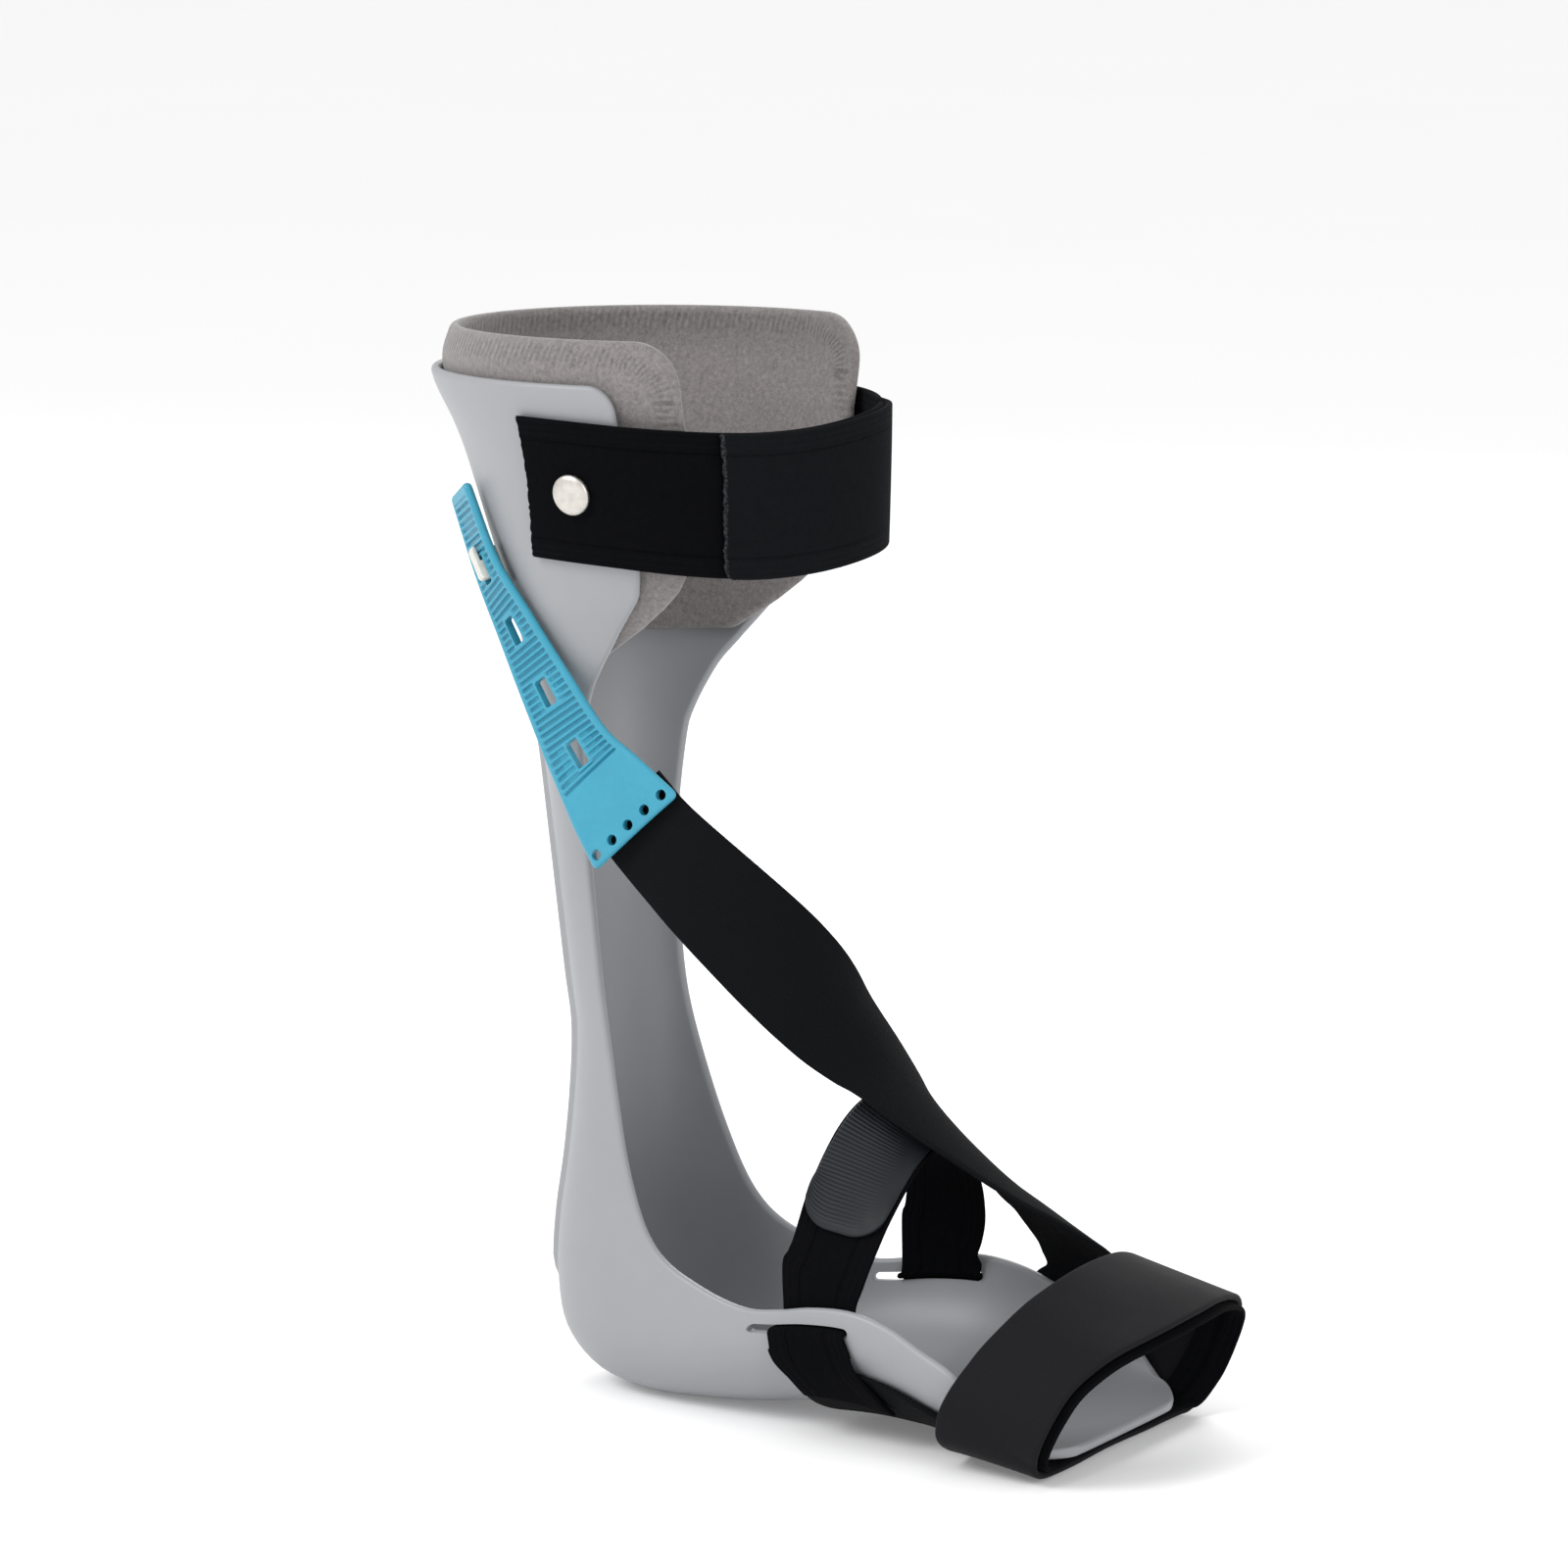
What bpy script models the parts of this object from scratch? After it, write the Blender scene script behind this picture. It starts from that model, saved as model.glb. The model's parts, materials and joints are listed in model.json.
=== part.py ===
"""A foot drop orthosis for a right foot, in the shape it takes when worn.

Toes point along +X, the inner (medial) side is +Y, and the outer (lateral) side is -Y.
The origin is the middle of the heel's flat, which rests on the floor at Z = 0.
"""

import functools
import math

import bmesh
import bpy
import numpy as np
from mathutils import Matrix

# Driving sizes, in metres
HEIGHT = 0.306
LENGTH = 0.190
WIDTH = 0.124
GAP = 0.0005

# Shell
SHELL_THICK = 0.003
RIB_HALF = 0.013
RIB_RISE = 0.002
RIB_SLOPE = 0.002
LIP_FLARE = 0.003
WING_CORNER = 0.008
TOE_CORNER = 0.022
SLOT_LENGTH = 0.033
SLOT_GAP = 0.0034
SLOT_DROP = 0.007
SLOT_REACH = 0.0625

# Calf pad
PAD_THICK = 0.0045
PAD_CORNER = 0.014
PAD_GAP = 0.0007

# Calf straps
CALF_STRAP_WIDTH = 0.042
CALF_STRAP_THICK = 0.002
CALF_STRAP_LEVEL = 0.2755
CALF_STRAP_DIP = 0.0042
CALF_STRAP_INSET = 0.007

# Rivets
RIVET_HEAD = 0.012
RIVET_RISE = 0.002
RIVET_RIM = 0.0006
RIVET_SHANK = 0.004
RIVET_POCKET = 0.0036

# Ladder strap and its stud
LADDER_THICK = 0.0026
LADDER_SLOT = (0.0085, 0.0045)
LADDER_PITCH = 0.0205
STITCH_HOLE = 0.0032
STUD_THICK = 0.0015
STUD_BASE = 0.012
STUD_NECK = 0.0056
STUD_HOOK = 0.0075
STUD_WIDE = 0.0034

# Lift strap under the sole: where its middle lies, and its width, at both ends
LIFT_THICK = 0.0018
SOLE_REACH = (0.110, 0.087)
SOLE_STRAP_WIDTH = (0.034, 0.046)

# Instep strap and its pull tab
INSTEP_THICK = 0.0016
INSTEP_WIDTH = 0.0248
INSTEP_OFFSET = 0.0034
INSTEP_TURN = 0.0012
INSTEP_LEAN = 0.4
TAB_THICK = 0.0012

# Forefoot band and its lining
BAND_THICK = 0.002
LINING_THICK = 0.0012
LINING_GAP = 0.0008
LINING_STEP = 0.0022
LINING_BACK = 0.2

# Sections of the shell's outer face from above the lip to the toe edge.
# Each row: spine x / LENGTH, spine z / HEIGHT, side x / LENGTH, side z / HEIGHT,
# half width / WIDTH, squareness of the section
FORM = (
    (-0.387, 1.052, -0.037, 1.052, 0.484, 2.0),  # above the lip
    (-0.403, 1.000, -0.039, 1.000, 0.500, 2.0),  # lip
    (-0.376, 0.948, -0.026, 0.948, 0.484, 2.0),
    (-0.352, 0.905, -0.012, 0.905, 0.468, 2.0),  # middle of the cuff
    (-0.326, 0.856, -0.008, 0.856, 0.444, 2.0),
    (-0.306, 0.817, -0.010, 0.817, 0.419, 2.0),
    (-0.289, 0.784, -0.018, 0.784, 0.391, 2.0),
    (-0.276, 0.752, -0.034, 0.752, 0.355, 2.0),
    (-0.267, 0.722, -0.056, 0.722, 0.323, 2.0),  # neck
    (-0.259, 0.693, -0.080, 0.693, 0.290, 2.0),
    (-0.248, 0.654, -0.096, 0.654, 0.258, 2.0),
    (-0.238, 0.614, -0.102, 0.614, 0.234, 2.0),  # top of the leaf
    (-0.224, 0.539, -0.105, 0.539, 0.206, 2.0),
    (-0.213, 0.484, -0.100, 0.484, 0.198, 2.0),
    (-0.197, 0.408, -0.089, 0.408, 0.194, 2.0),
    (-0.185, 0.356, -0.075, 0.356, 0.198, 2.0),  # ankle
    (-0.187, 0.294, -0.050, 0.291, 0.218, 2.1),
    (-0.197, 0.229, -0.026, 0.239, 0.238, 2.2),  # top of the heel
    (-0.213, 0.163, 0.003, 0.193, 0.254, 2.3),
    (-0.216, 0.105, 0.032, 0.165, 0.266, 2.4),  # back of the heel
    (-0.197, 0.050, 0.068, 0.147, 0.275, 2.5),
    (-0.133, 0.013, 0.116, 0.134, 0.284, 2.6),
    (-0.042, -0.002, 0.168, 0.124, 0.294, 2.5),  # heel flat
    (0.063, -0.002, 0.221, 0.119, 0.302, 2.4),
    (0.168, 0.003, 0.274, 0.123, 0.310, 2.3),
    (0.274, 0.012, 0.337, 0.131, 0.323, 2.2),  # arch
    (0.379, 0.016, 0.411, 0.134, 0.335, 2.2),
    (0.474, 0.016, 0.479, 0.126, 0.347, 2.3),
    (0.547, 0.016, 0.542, 0.109, 0.359, 2.5),  # ball of the foot
    (0.611, 0.016, 0.605, 0.092, 0.371, 2.9),
    (0.663, 0.016, 0.658, 0.065, 0.375, 3.4),
    (0.705, 0.016, 0.700, 0.042, 0.371, 4.0),
    (0.742, 0.016, 0.737, 0.031, 0.363, 4.0),
    (0.774, 0.016, 0.770, 0.028, 0.355, 4.0),  # toe edge
)
LIP, CUFF_END, FOOT_START, TOE = 1, 14, 20, len(FORM) - 1

# How far the cuff and its pad reach round the limb.
# Each row: z / HEIGHT, the shell's edge and the pad's edge in degrees from the spine
REACH = (
    (1.060, 99, 122),
    (1.000, 106, 122),
    (0.900, 104, 122),
    (0.820, 106, 121),
    (0.795, 106, 119),
    (0.775, 103, 115),
    (0.755, 100, 109),
    (0.725, 97, 96),
    (0.680, 94, 92),
    (0.640, 90, 90),
    (0.000, 90, 90),
)

# Free lengths of strap.
# Each row: x / LENGTH, y / WIDTH, z / HEIGHT of the middle, then the heading and the pitch
# in degrees of the line across the strap, its width / WIDTH, its crown / WIDTH
LADDER = (
    (-0.289, -0.315, 0.884, -42, 18, 0.145, 0.000),  # free end
    (-0.234, -0.327, 0.810, -36, 20, 0.145, 0.000),  # slot on the stud
    (-0.174, -0.343, 0.755, -21, 24, 0.149, 0.000),
    (-0.113, -0.355, 0.699, -5, 27, 0.161, 0.000),
    (-0.053, -0.363, 0.644, 0, 28, 0.194, 0.000),  # last slot
    (0.000, -0.371, 0.608, 6, 29, 0.242, 0.002),
    (0.055, -0.377, 0.573, 10, 30, 0.282, 0.006),  # stitched end
)
LIFT = (
    (0.020, -0.334, 0.597, 8, 33, 0.230, 0.006),  # under the ladder's stitched end
    (0.076, -0.345, 0.566, 7, 42, 0.240, 0.010),
    (0.149, -0.331, 0.525, 15, 49, 0.255, 0.022),
    (0.229, -0.250, 0.467, 35, 40, 0.266, 0.020),
    (0.282, -0.161, 0.418, 60, 36, 0.266, 0.028),
    (0.332, -0.030, 0.358, 97, 26, 0.266, 0.032),  # over the instep
    (0.416, 0.020, 0.299, 100, -5, 0.266, 0.032),
    (0.516, 0.105, 0.2335, 118, -12, 0.266, 0.026),
    (0.562, 0.198, 0.1955, 138, -9, 0.266, 0.020),
    (0.584, 0.288, 0.1600, 154, -8, 0.262, 0.012),
    (0.588, 0.352, 0.1270, 168, -2, 0.258, 0.004),  # above the inner wall
)
INSTEP = (
    (0.337, -0.287, 0.141, 0, 0, 0.218, 0.000),  # inside the outer wall
    (0.358, -0.270, 0.180, 0, -5, 0.218, 0.000),
    (0.371, -0.210, 0.228, 5, -18, 0.218, 0.004),
    (0.380, -0.105, 0.272, 8, -28, 0.218, 0.008),
    (0.382, 0.008, 0.288, 0, -31, 0.218, 0.008),  # top of the instep
    (0.380, 0.113, 0.274, -8, -28, 0.218, 0.008),
    (0.371, 0.218, 0.234, -5, -18, 0.218, 0.004),
    (0.358, 0.270, 0.180, 0, -5, 0.218, 0.000),
    (0.337, 0.287, 0.141, 0, 0, 0.218, 0.000),  # inside the inner wall
)
BAND = (
    (0.660, 0.000, 0.0042, 0, 0, 0.270, 0),  # under the ball of the foot
    (0.665, -0.210, 0.0046, -2, 0, 0.270, 0),
    (0.668, -0.358, 0.0176, -5, -7, 0.272, 0),
    (0.680, -0.402, 0.0430, -3, -1, 0.268, 0),
    (0.708, -0.402, 0.0780, -2, 1, 0.266, 0),
    (0.738, -0.358, 0.1130, 0, 0, 0.270, 0),
    (0.770, -0.270, 0.1400, 0, -12, 0.274, 0),
    (0.797, -0.129, 0.1560, 0, -20, 0.278, 0),
    (0.805, 0.024, 0.1610, 0, -20, 0.278, 0),  # over the toes' roots
    (0.794, 0.168, 0.1560, 0, -16, 0.274, 0),
    (0.770, 0.326, 0.1345, 3, -12, 0.268, 0),
    (0.736, 0.397, 0.0940, 0, -4, 0.266, 0),
    (0.700, 0.414, 0.0480, 2, 0, 0.266, 0),
    (0.674, 0.362, 0.0150, 5, -3, 0.270, 0),
    (0.665, 0.215, 0.0046, 2, 0, 0.270, 0),
)


# Tables and sections
def between(rows, place, ring=False):
    """The row at a place counted in rows, on a smooth curve through all of them."""
    rows = np.asarray(rows, float)
    count = len(rows)
    first = int(math.floor(place)) if ring else min(max(int(place), 0), count - 2)
    part = place - first
    if ring:
        a, b, c, d = (rows[(first + step) % count] for step in (-1, 0, 1, 2))
    else:
        b, c = rows[first], rows[first + 1]
        a = rows[first - 1] if first else 2 * b - c
        d = rows[first + 2] if first + 2 < count else 2 * c - b
    bend = 2 * a - 5 * b + 4 * c - d
    twist = 3 * (b - c) + d - a
    return b + 0.5 * part * (c - a + part * (bend + part * twist))


def mix(low, high, share):
    share = min(max(share, 0.0), 1.0)
    return low + (high - low) * share * share * (3 - 2 * share)


@functools.lru_cache(maxsize=None)
def section(place):
    """Points of one cross-section of the outer face, spine to side and on, with their arcs."""
    spine_x, spine_z, side_x, side_z, half, square = between(FORM, place)
    spine = np.array((spine_x * LENGTH, 0, spine_z * HEIGHT))
    side = np.array((side_x * LENGTH, 0, side_z * HEIGHT))
    turn = np.radians(np.linspace(0, 140, 141))
    power = 2 / square
    depth = 1 - np.sign(np.cos(turn)) * abs(np.cos(turn)) ** power
    points = spine + depth[:, None] * (side - spine)
    points[:, 1] = -half * WIDTH * abs(np.sin(turn)) ** power
    arcs = np.concatenate(([0], np.linalg.norm(np.diff(points, axis=0), axis=1).cumsum()))
    return points, arcs


def face(place, arc):
    """A point of the outer face. A positive arc runs from the spine to the outer side."""
    points, arcs = section(round(place, 6))
    point = np.array([np.interp(abs(arc), arcs, points[:, axis]) for axis in range(3)])
    if arc < 0:
        point[1] = -point[1]
    return point


def above(place, arc, rise):
    """The point that stands a distance off the outer face."""
    down = face(min(place + 0.02, TOE), arc) - face(max(place - 0.02, 0), arc)
    along = face(place, arc + 0.0004) - face(place, arc - 0.0004)
    normal = np.cross(down, along)
    level = face(place, 0)[2] / HEIGHT
    flare = LIP_FLARE * mix(0, 1, (level - 0.92) / 0.1) if place < 4 else 0
    return face(place, arc) + (rise + flare) * normal / np.linalg.norm(normal)


PLACES = np.linspace(0, TOE, 40 * TOE + 1)
LEVELS = np.array([between(FORM, place)[3] * HEIGHT for place in PLACES])
REACHES = np.array([between(FORM, place)[2] * LENGTH for place in PLACES])


def at_height(height):
    """The place whose section lies at a height on the cuff or the leaf."""
    upper = PLACES < CUFF_END
    return float(np.interp(-height, -LEVELS[upper], PLACES[upper]))


def at_reach(reach):
    """The place whose wall line is this far forward along the foot."""
    lower = PLACES > FOOT_START
    return float(np.interp(reach, REACHES[lower], PLACES[lower]))


def edge_arc(place, column):
    """Arc from the spine to a trimmed edge: column 1 for the shell, 2 for the pad."""
    level = between(FORM, place)[3]
    table = np.array(REACH[::-1], float)
    degrees = np.interp(level, table[:, 0], table[:, column]) if place < CUFF_END else 90
    return float(np.interp(degrees, np.linspace(0, 140, 141), section(round(place, 6))[1]))


def rounded(arc, inside, radius):
    """The arc cut back where it is nearer to an end than the corner's radius."""
    if inside >= radius:
        return arc
    return arc - radius + math.sqrt(max(radius**2 - (radius - inside) ** 2, 0))


# Meshes
def sheet(name, outer, inner, skin, ring=False, open_cells=()):
    """One closed body between two grids of points, with openings where cells are left out."""
    rows, columns = outer.shape[:2]
    corners = np.concatenate((outer.reshape(-1, 3), inner.reshape(-1, 3)))
    below = rows * columns
    cells = [
        (row, column)
        for row in range(rows if ring else rows - 1)
        for column in range(columns - 1)
        if (row, column) not in open_cells
    ]
    faces, sides = [], {}
    for row, column in cells:
        following = (row + 1) % rows
        loop = (
            row * columns + column,
            row * columns + column + 1,
            following * columns + column + 1,
            following * columns + column,
        )
        for corner_set in ((0, 1, 2), (0, 2, 3)):
            faces.append(tuple(loop[corner] for corner in corner_set))
            faces.append(tuple(loop[corner] + below for corner in reversed(corner_set)))
        for start, end in zip(loop, loop[1:] + loop[:1]):
            if (end, start) in sides:
                del sides[end, start]
            else:
                sides[start, end] = True
    faces += [(end, start, start + below, end + below) for start, end in sides]
    mesh = bpy.data.meshes.new(name)
    mesh.from_pydata(corners.tolist(), [], faces)
    body = bmesh.new()
    body.from_mesh(mesh)
    bmesh.ops.delete(body, geom=[v for v in body.verts if not v.link_faces], context="VERTS")
    bmesh.ops.recalc_face_normals(body, faces=body.faces)
    body.to_mesh(mesh)
    body.free()
    return placed(name, mesh, skin)


def placed(name, mesh, skin):
    mesh.materials.append(skin)
    mesh.shade_smooth()
    mesh.set_sharp_from_angle(angle=math.radians(35))
    piece = bpy.data.objects.new(name, mesh)
    bpy.context.scene.collection.objects.link(piece)
    piece.parent = frame
    return piece


def normals(grid, ring=False):
    if ring:
        wrapped = np.concatenate((grid[-1:], grid, grid[:1]))
        along = np.gradient(wrapped, axis=0)[1:-1]
    else:
        along = np.gradient(grid, axis=0)
    across = np.gradient(grid, axis=1)
    out = np.cross(along, across)
    return out / np.linalg.norm(out, axis=2, keepdims=True)


def strap(name, grid, thick, skin, ring=False, open_cells=()):
    """A flat strap whose middle follows a grid of points."""
    out = normals(grid, ring) * thick / 2
    return sheet(name, grid + out, grid - out, skin, ring, open_cells)


def strip(rows, places, shares, ring=False, shift=0.0, widen=1.0):
    """The middle of a free strap, as points at shares of its half width."""
    grid = []
    for place in places:
        row = between(rows, place, ring)
        ahead = between(rows, place + 0.05, ring) - between(rows, place - 0.05, ring)
        middle = row[:3] * (LENGTH, WIDTH, HEIGHT)
        along = ahead[:3] * (LENGTH, WIDTH, HEIGHT)
        along /= np.linalg.norm(along)
        heading, pitch = np.radians(row[3:5])
        across = np.array(
            (
                math.cos(pitch) * math.cos(heading),
                math.cos(pitch) * math.sin(heading),
                math.sin(pitch),
            )
        )
        across -= along * across.dot(along)
        across /= np.linalg.norm(across)
        out = np.cross(along, across)
        half = row[5] * WIDTH / 2 * widen
        crown = row[6] * WIDTH
        grid.append(
            [
                middle + across * (half * share + shift) - out * crown * (share**2 - 0.4)
                for share in shares
            ]
        )
    return np.array(grid)


def prism(name, outline, depth, location, axes):
    """An extruded outline, placed by its middle and its three axes."""
    body = bmesh.new()
    base = body.faces.new([body.verts.new((u, v, -depth / 2)) for u, v in outline])
    grown = bmesh.ops.extrude_face_region(body, geom=[base])["geom"]
    top = [item for item in grown if isinstance(item, bmesh.types.BMVert)]
    bmesh.ops.translate(body, verts=top, vec=(0, 0, depth))
    bmesh.ops.recalc_face_normals(body, faces=body.faces)
    mesh = bpy.data.meshes.new(name)
    body.to_mesh(mesh)
    body.free()
    piece = bpy.data.objects.new(name, mesh)
    bpy.context.scene.collection.objects.link(piece)
    matrix = Matrix([list(axis) + [0] for axis in axes] + [[0, 0, 0, 1]]).transposed()
    matrix.translation = location
    piece.matrix_world = matrix
    return piece


def circle(diameter, sides):
    angles = [2 * math.pi * side / sides for side in range(sides)]
    return [(diameter / 2 * math.cos(a), diameter / 2 * math.sin(a)) for a in angles]


def cut(piece, cutter):
    cutter.hide_render = True
    cutter.display_type = "WIRE"
    cutter.parent = frame
    hole = piece.modifiers.new(cutter.name, "BOOLEAN")
    hole.object = cutter
    hole.operation = "DIFFERENCE"
    hole.solver = "EXACT"


def frame_at(point, out, along):
    """Three axes whose last points out of a face."""
    out = out / np.linalg.norm(out)
    along = along - out * along.dot(out)
    along /= np.linalg.norm(along)
    return point, (along, np.cross(out, along), out)


def material(name, colour, roughness, metallic=0.0):
    skin = bpy.data.materials.new(name)
    skin.use_nodes = True
    surface = skin.node_tree.nodes["Principled BSDF"]
    surface.inputs["Base Color"].default_value = (*colour, 1)
    surface.inputs["Roughness"].default_value = roughness
    surface.inputs["Metallic"].default_value = metallic
    return skin


for old in list(bpy.data.objects):
    bpy.data.objects.remove(old, do_unlink=True)

frame = bpy.data.objects.new("orthosis", None)
bpy.context.scene.collection.objects.link(frame)

shell_skin = material("shell_plastic", (0.45, 0.46, 0.49), 0.42)
pad_skin = material("pad_fabric", (0.29, 0.27, 0.26), 0.9)
velvet_skin = material("velvet_strap", (0.012, 0.012, 0.014), 0.95)
elastic_skin = material("elastic_strap", (0.02, 0.021, 0.023), 0.85)
band_skin = material("smooth_strap", (0.025, 0.025, 0.028), 0.8)
tab_skin = material("tab_rubber", (0.022, 0.026, 0.032), 0.6)
ladder_skin = material("ladder_plastic", (0.07, 0.46, 0.62), 0.35)
stud_skin = material("stud_plastic", (0.62, 0.62, 0.6), 0.3)
rivet_skin = material("rivet_steel", (0.72, 0.69, 0.65), 0.3, 1.0)

# Shell
slot_ends = [at_reach(SLOT_REACH + side * SLOT_LENGTH / 2) for side in (-1, 1)]
places = [
    place
    for place in np.linspace(LIP, TOE, 37)
    if min(abs(place - end) for end in slot_ends) > 0.3
]
places += slot_ends + [LIP + step for step in (0.03, 0.1, 0.22, 0.42)]
places += [TOE - step for step in (0.15, 0.45, 1.05)]
places = sorted(set(round(place, 4) for place in places))
slot_rows = [
    row
    for row, place in enumerate(places)
    if slot_ends[0] - 1e-3 < place < slot_ends[1] - 1e-3
]


def shell_edge(place):
    arc = edge_arc(place, 1)
    from_lip = HEIGHT - between(FORM, place)[1] * HEIGHT
    to_toe = (FORM[TOE][0] - between(FORM, place)[0]) * LENGTH
    arc = rounded(arc, max(from_lip, 0), WING_CORNER)
    return rounded(arc, max(to_toe, 0), TOE_CORNER)


def shell_columns(place):
    """Arcs of the grid's lines on one side: the rib, the plain wall, then the slot's lines."""
    end = shell_edge(place)
    foot = RIB_HALF + RIB_SLOPE
    wall = [end - SLOT_DROP - SLOT_GAP / 2, end - SLOT_DROP + SLOT_GAP / 2]
    plain = np.linspace(foot, max(wall[0], foot + 0.001), 8)[1:-1]
    wall[0] = max(wall[0], foot + 0.001)
    wall[1] = max(wall[1], foot + 0.002)
    return [0, RIB_HALF / 2, RIB_HALF, foot, *plain, *wall, end - 0.0025, end]


def rib(place, arc):
    level = between(FORM, place)[1]
    ends = mix(0, 1, (0.80 - level) / 0.10) * mix(0, 1, (level - 0.095) / 0.02)
    if place > FOOT_START:
        return 0
    return RIB_RISE * ends * (abs(arc) <= RIB_HALF + 1e-6)


outer_rows, inner_rows = [], []
for place in places:
    half = shell_columns(place)
    arcs = [-arc for arc in reversed(half[1:])] + half
    outer_rows.append([above(place, arc, rib(place, arc)) for arc in arcs])
    inner_rows.append([above(place, arc, -SHELL_THICK) for arc in arcs])
outer_rows = np.array(outer_rows)
outer_rows[:, :, 2] = np.maximum(outer_rows[:, :, 2], 0)  # the heel's flat
column_count = outer_rows.shape[1]
slot_cells = {
    (row, column) for row in slot_rows for column in (2, column_count - 4)
}
shell = sheet("shell", outer_rows, np.array(inner_rows), shell_skin, open_cells=slot_cells)

# Calf pad
pad_top = at_height(1.042 * HEIGHT)
pad_low = at_height(0.724 * HEIGHT)
pad_outer, pad_inner = [], []
for place in [pad_top + (pad_low - pad_top) * step for step in
              (0, 0.012, 0.035, 0.075, 0.13, 0.2, 0.28, 0.36, 0.44, 0.52, 0.6, 0.67,
               0.74, 0.81, 0.88, 0.94, 1)]:
    from_top = (1.042 - between(FORM, place)[1]) * HEIGHT
    end = rounded(edge_arc(place, 2), max(from_top, 0), PAD_CORNER)
    arcs = end * np.linspace(-1, 1, 19)
    pad_outer.append([above(place, arc, -SHELL_THICK - PAD_GAP) for arc in arcs])
    pad_inner.append([above(place, arc, -SHELL_THICK - PAD_GAP - PAD_THICK) for arc in arcs])
pad = sheet("calf_pad", np.array(pad_outer), np.array(pad_inner), pad_skin)


# Calf straps
def hug(turn, level, rise):
    """A point round the calf: turn in degrees from the spine by the outer side."""
    turn = turn % 360
    forward = mix(0, 1, (min(turn, 360 - turn) - 100) / 45)
    level_eff = level + (CALF_STRAP_LEVEL - level) * forward * 0.85
    place = at_height(level_eff)
    spine_x, _, side_x, _, half, _ = between(FORM, place)
    depth = (side_x - spine_x) * LENGTH
    flare = LIP_FLARE * mix(0, 1, (level_eff / HEIGHT - 0.92) / 0.1)
    off = rise + flare - CALF_STRAP_INSET * mix(0, 1, (min(turn, 360 - turn) - 106) / 44)
    angle = math.radians(turn)
    return np.array(
        (
            side_x * LENGTH - (depth + off) * math.cos(angle),
            -(half * WIDTH + off) * math.sin(angle),
            level - CALF_STRAP_DIP * math.exp(-(((turn - 142) / 38) ** 2)),
        )
    )


def calf_strap(name, turns, rises, slant=0):
    """A length of strap; slant is how many degrees further back its lower corner starts."""
    grid = []
    for turn, rise in zip(turns, rises):
        share_left = (turns[-1] - turn) / (turns[-1] - turns[0])
        grid.append(
            [
                hug(
                    turn - slant * share_left**4 * (1 - share) / 2,
                    CALF_STRAP_LEVEL + share * CALF_STRAP_WIDTH / 2,
                    rise,
                )
                for share in (-1, 0, 1)
            ]
        )
    return strap(name, np.array(grid), CALF_STRAP_THICK, velvet_skin)


under = GAP + CALF_STRAP_THICK / 2
stack = CALF_STRAP_THICK + GAP
low_turns = np.linspace(79, 207, 27)
calf_low = calf_strap("calf_strap_lateral", low_turns, [under] * len(low_turns), 8)
high_turns = np.linspace(129.5, 285, 31)
calf_high = calf_strap(
    "calf_strap_medial",
    high_turns,
    [under + stack * (1 - mix(0, 1, (turn - 209) / 12)) for turn in high_turns],
)


# Rivets
def turned(name, profile, sides, skin, point, axes):
    """A body turned round its last axis from rows of radius and height, bottom to top."""
    body = bmesh.new()
    rings = []
    for radius, rise in profile:
        if radius == 0:
            rings.append([body.verts.new((0, 0, rise))])
        else:
            rings.append([body.verts.new((x, y, rise)) for x, y in circle(2 * radius, sides)])
    for lower, upper in zip(rings, rings[1:]):
        for side in range(sides):
            after = (side + 1) % sides
            loop = [lower[side % len(lower)], lower[after % len(lower)]]
            loop += [upper[after % len(upper)], upper[side % len(upper)]]
            body.faces.new(list(dict.fromkeys(loop)))
    bmesh.ops.recalc_face_normals(body, faces=body.faces)
    mesh = bpy.data.meshes.new(name)
    body.to_mesh(mesh)
    body.free()
    piece = placed(name, mesh, skin)
    matrix = Matrix([list(axis) + [0] for axis in axes] + [[0, 0, 0, 1]]).transposed()
    matrix.translation = point
    piece.matrix_world = matrix
    return piece


def rivet(name, side, cuff_strap):
    turn = 90 if side < 0 else 270
    point = hug(turn, CALF_STRAP_LEVEL, 0)
    up = hug(turn, CALF_STRAP_LEVEL + RIVET_SHANK / 2, 0) - point
    round_ = hug(turn + 2, CALF_STRAP_LEVEL, 0) - hug(turn - 2, CALF_STRAP_LEVEL, 0)
    out = np.cross(up, round_)
    out *= np.sign(out[1]) * side
    point, axes = frame_at(point, out, up)
    head = CALF_STRAP_THICK + 2 * GAP
    tail = -SHELL_THICK - 2 * GAP
    dome = [
        (RIVET_HEAD / 2 * math.cos(a), head + RIVET_RIM + (RIVET_RISE - RIVET_RIM) * math.sin(a))
        for a in np.radians((0, 25, 50, 72))
    ]
    profile = [
        (0, tail - RIVET_RIM),
        (RIVET_SHANK, tail - RIVET_RIM),
        (RIVET_SHANK, tail),
        (RIVET_SHANK / 2, tail),
        (RIVET_SHANK / 2, head),
        (RIVET_HEAD / 2, head),
        *dome,
        (0, head + RIVET_RISE),
    ]
    turned(name, profile, 16, rivet_skin, point, axes)
    hole = circle(RIVET_SHANK + 2 * GAP, 16)
    through = prism(name + "_hole", hole, RIVET_HEAD, point, axes)
    cut(shell, through)
    cut(cuff_strap, through)
    recess = circle(2 * RIVET_SHANK + 4 * GAP, 16)
    seat = point + axes[2] * (tail + RIVET_POCKET / 2 - 2 * RIVET_RIM)
    pocket = prism(name + "_recess", recess, RIVET_POCKET, seat, axes)
    cut(pad, pocket)


rivet("rivet_lateral", -1, calf_low)
rivet("rivet_medial", 1, calf_high)

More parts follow.
